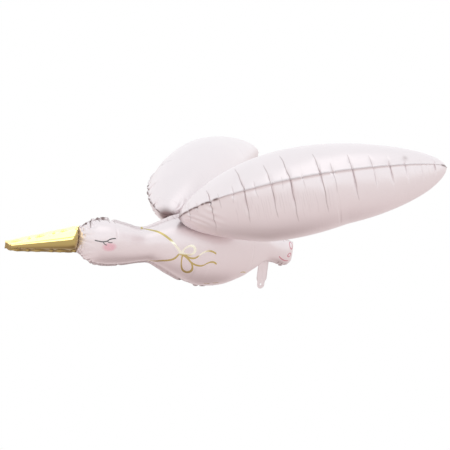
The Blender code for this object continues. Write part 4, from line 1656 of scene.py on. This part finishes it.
# A soft light from above: its place, what it looks at, its width, its height and its watts
SOFT_BOX = ((-0.6, -1.3, 2.7), (-0.5, 0.0, 0.3), 3.0, 1.4, 4.0)
# Two panels of light that only the beak reflects, with a narrow gap between: name, place, height, watts
BEAK_LIGHTS = (
    ("upper_beak_light", (-1.1, 0.007, 1.703), 2.50, 60.0),
    ("lower_beak_light", (-1.1, -1.773, 0.796), 0.96, 23.0),
)
BEAK_LIGHT_WIDTH = 2.4
BEAK_LIGHT_AIM = Vector((0.0, 0.454, -0.891))


def light_panel(name, place, target, width, height, watts):
    """A rectangular light at a place, looking at a target."""
    panel = bpy.data.objects.new(name, bpy.data.lights.new(name, "AREA"))
    panel.data.shape = "RECTANGLE"
    panel.data.size, panel.data.size_y = width, height
    panel.data.energy = watts
    bpy.context.scene.collection.objects.link(panel)
    aim(panel, place, target)
    return panel


def colour_ramp(build, factor, stops):
    """A colour ramp through stops of place and colour."""
    node = build.add("ShaderNodeValToRGB", {"Fac": factor})
    places = node.color_ramp.elements
    for number, (place, colour) in enumerate(stops):
        if number in (0, len(stops) - 1):
            stop = places[0 if number == 0 else -1]
            stop.position = place
        else:
            stop = places.new(place)
        stop.color = (*colour, 1.0)
    return node.outputs["Color"]


def show_white(build, light, kind):
    """Let a light shine on the bird, while the camera sees plain white in its place."""
    white = "ShaderNodeBackground" if kind == "World" else "ShaderNodeEmission"
    plain = build.add(white, {"Color": (1.0, 1.0, 1.0, 1.0)}).outputs[0]
    seen = build.add("ShaderNodeLightPath").outputs["Is Camera Ray"]
    both = build.add("ShaderNodeMixShader", {0: seen, 1: light, 2: plain}).outputs[0]
    build.add(f"ShaderNodeOutput{kind}", {"Surface": both})


class STORK_OT_stage(bpy.types.Operator):
    """Set up the pale floor, the soft studio light and the camera"""

    bl_idname = "stork.stage"
    bl_label = "Stage"

    def execute(self, context):
        stage = context.scene.stork_stage
        place, back = Vector(stage.camera_place), Vector(stage.camera_back)
        camera = bpy.data.objects.new("camera", bpy.data.cameras.new("camera"))
        camera.data.lens = stage.lens
        camera.data.sensor_width = SENSOR_WIDTH
        context.scene.collection.objects.link(camera)
        aim(camera, place, place - back)
        context.scene.camera = camera

        bm = bmesh.new()
        bmesh.ops.create_circle(bm, cap_ends=True, radius=FLOOR_RADIUS, segments=FLOOR_SIDES)
        bmesh.ops.translate(bm, verts=bm.verts, vec=(0.0, 0.0, stage.floor))
        mesh = bpy.data.meshes.new("floor")
        bm.to_mesh(mesh)
        bm.free()
        floor = bpy.data.objects.new("floor", mesh)
        context.scene.collection.objects.link(floor)
        material = bpy.data.materials.new("pale_floor")
        material.use_nodes = True
        material.node_tree.nodes.clear()
        build = Nodes(material.node_tree)
        # The floor glows for the bird, darkest below it as a painted shadow; the camera sees it plain white
        spot = build.add("ShaderNodeTexCoord").outputs["Object"]
        away = build.vector("MULTIPLY", spot, (1.0, 1.0, 0.0))
        away = build.add("ShaderNodeVectorMath", {0: away}, operation="LENGTH").outputs["Value"]
        slant = build.math("SQRT", build.math("MULTIPLY_ADD", away, away, HEIGHT_SQUARED))
        sine = build.math("DIVIDE", away, slant)
        shade = colour_ramp(build, sine, FLOOR_LIGHT)
        show_white(build, build.add("ShaderNodeEmission", {"Color": shade}).outputs[0], "Material")
        mesh.materials.append(material)
        floor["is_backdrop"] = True

        world = bpy.data.worlds.new("studio")
        world.use_nodes = True
        context.scene.world = world
        world.node_tree.nodes.clear()
        build = Nodes(world.node_tree)
        around = build.add("ShaderNodeTexCoord").outputs["Generated"]
        shade = colour_ramp(build, build.parts(around)["Z"], DOME_LIGHT)
        show_white(build, build.add("ShaderNodeBackground", {"Color": shade}).outputs[0], "World")

        light_panel("soft_box", *SOFT_BOX)
        lit = bpy.data.collections.new("lit_by_beak_lights")
        for name, place, height, watts in BEAK_LIGHTS:
            panel = light_panel(name, place, Vector(place) + BEAK_LIGHT_AIM, BEAK_LIGHT_WIDTH, height, watts)
            panel.visible_camera = False
            panel.light_linking.receiver_collection = lit
        context.scene.view_settings.view_transform = "Standard"
        return {"FINISHED"}


class STORK_PT_panel(bpy.types.Panel):
    """Buttons that build the balloon piece by piece"""

    bl_label = "Foil Stork Balloon"
    bl_idname = "STORK_PT_panel"
    bl_space_type = "VIEW_3D"
    bl_region_type = "UI"
    bl_category = "Balloon"

    def draw(self, context):
        for operator in OPERATORS:
            self.layout.operator(operator.bl_idname)


SETTINGS = {
    "stork_foil": FoilSettings,
    "stork_body": BodySettings,
    "stork_tab": TabSettings,
    "stork_beak": BeakSettings,
    "stork_wing": WingSettings,
    "stork_stage": StageSettings,
}
OPERATORS = (STORK_OT_stage, STORK_OT_body, STORK_OT_tab, STORK_OT_beak, STORK_OT_wings)


def register():
    for group in (*SETTINGS.values(), *OPERATORS, STORK_PT_panel):
        bpy.utils.register_class(group)
    for name, group in SETTINGS.items():
        setattr(bpy.types.Scene, name, PointerProperty(type=group))


def unregister():
    for name in SETTINGS:
        delattr(bpy.types.Scene, name)
    for group in (STORK_PT_panel, *reversed(OPERATORS), *reversed(SETTINGS.values())):
        bpy.utils.unregister_class(group)


def main():
    """Build every piece in order and read the bounds of the model and of the dressed part."""
    register()
    bpy.ops.stork.stage()
    bpy.ops.stork.body()
    bpy.ops.stork.tab()
    bpy.ops.stork.beak()
    bpy.ops.stork.wings()
    boxes = {"cad": CAD_BOX, "scene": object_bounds()}
    {name: [list(corner) for corner in box] for name, box in boxes.items()}


if __name__ == "__main__":
    main()
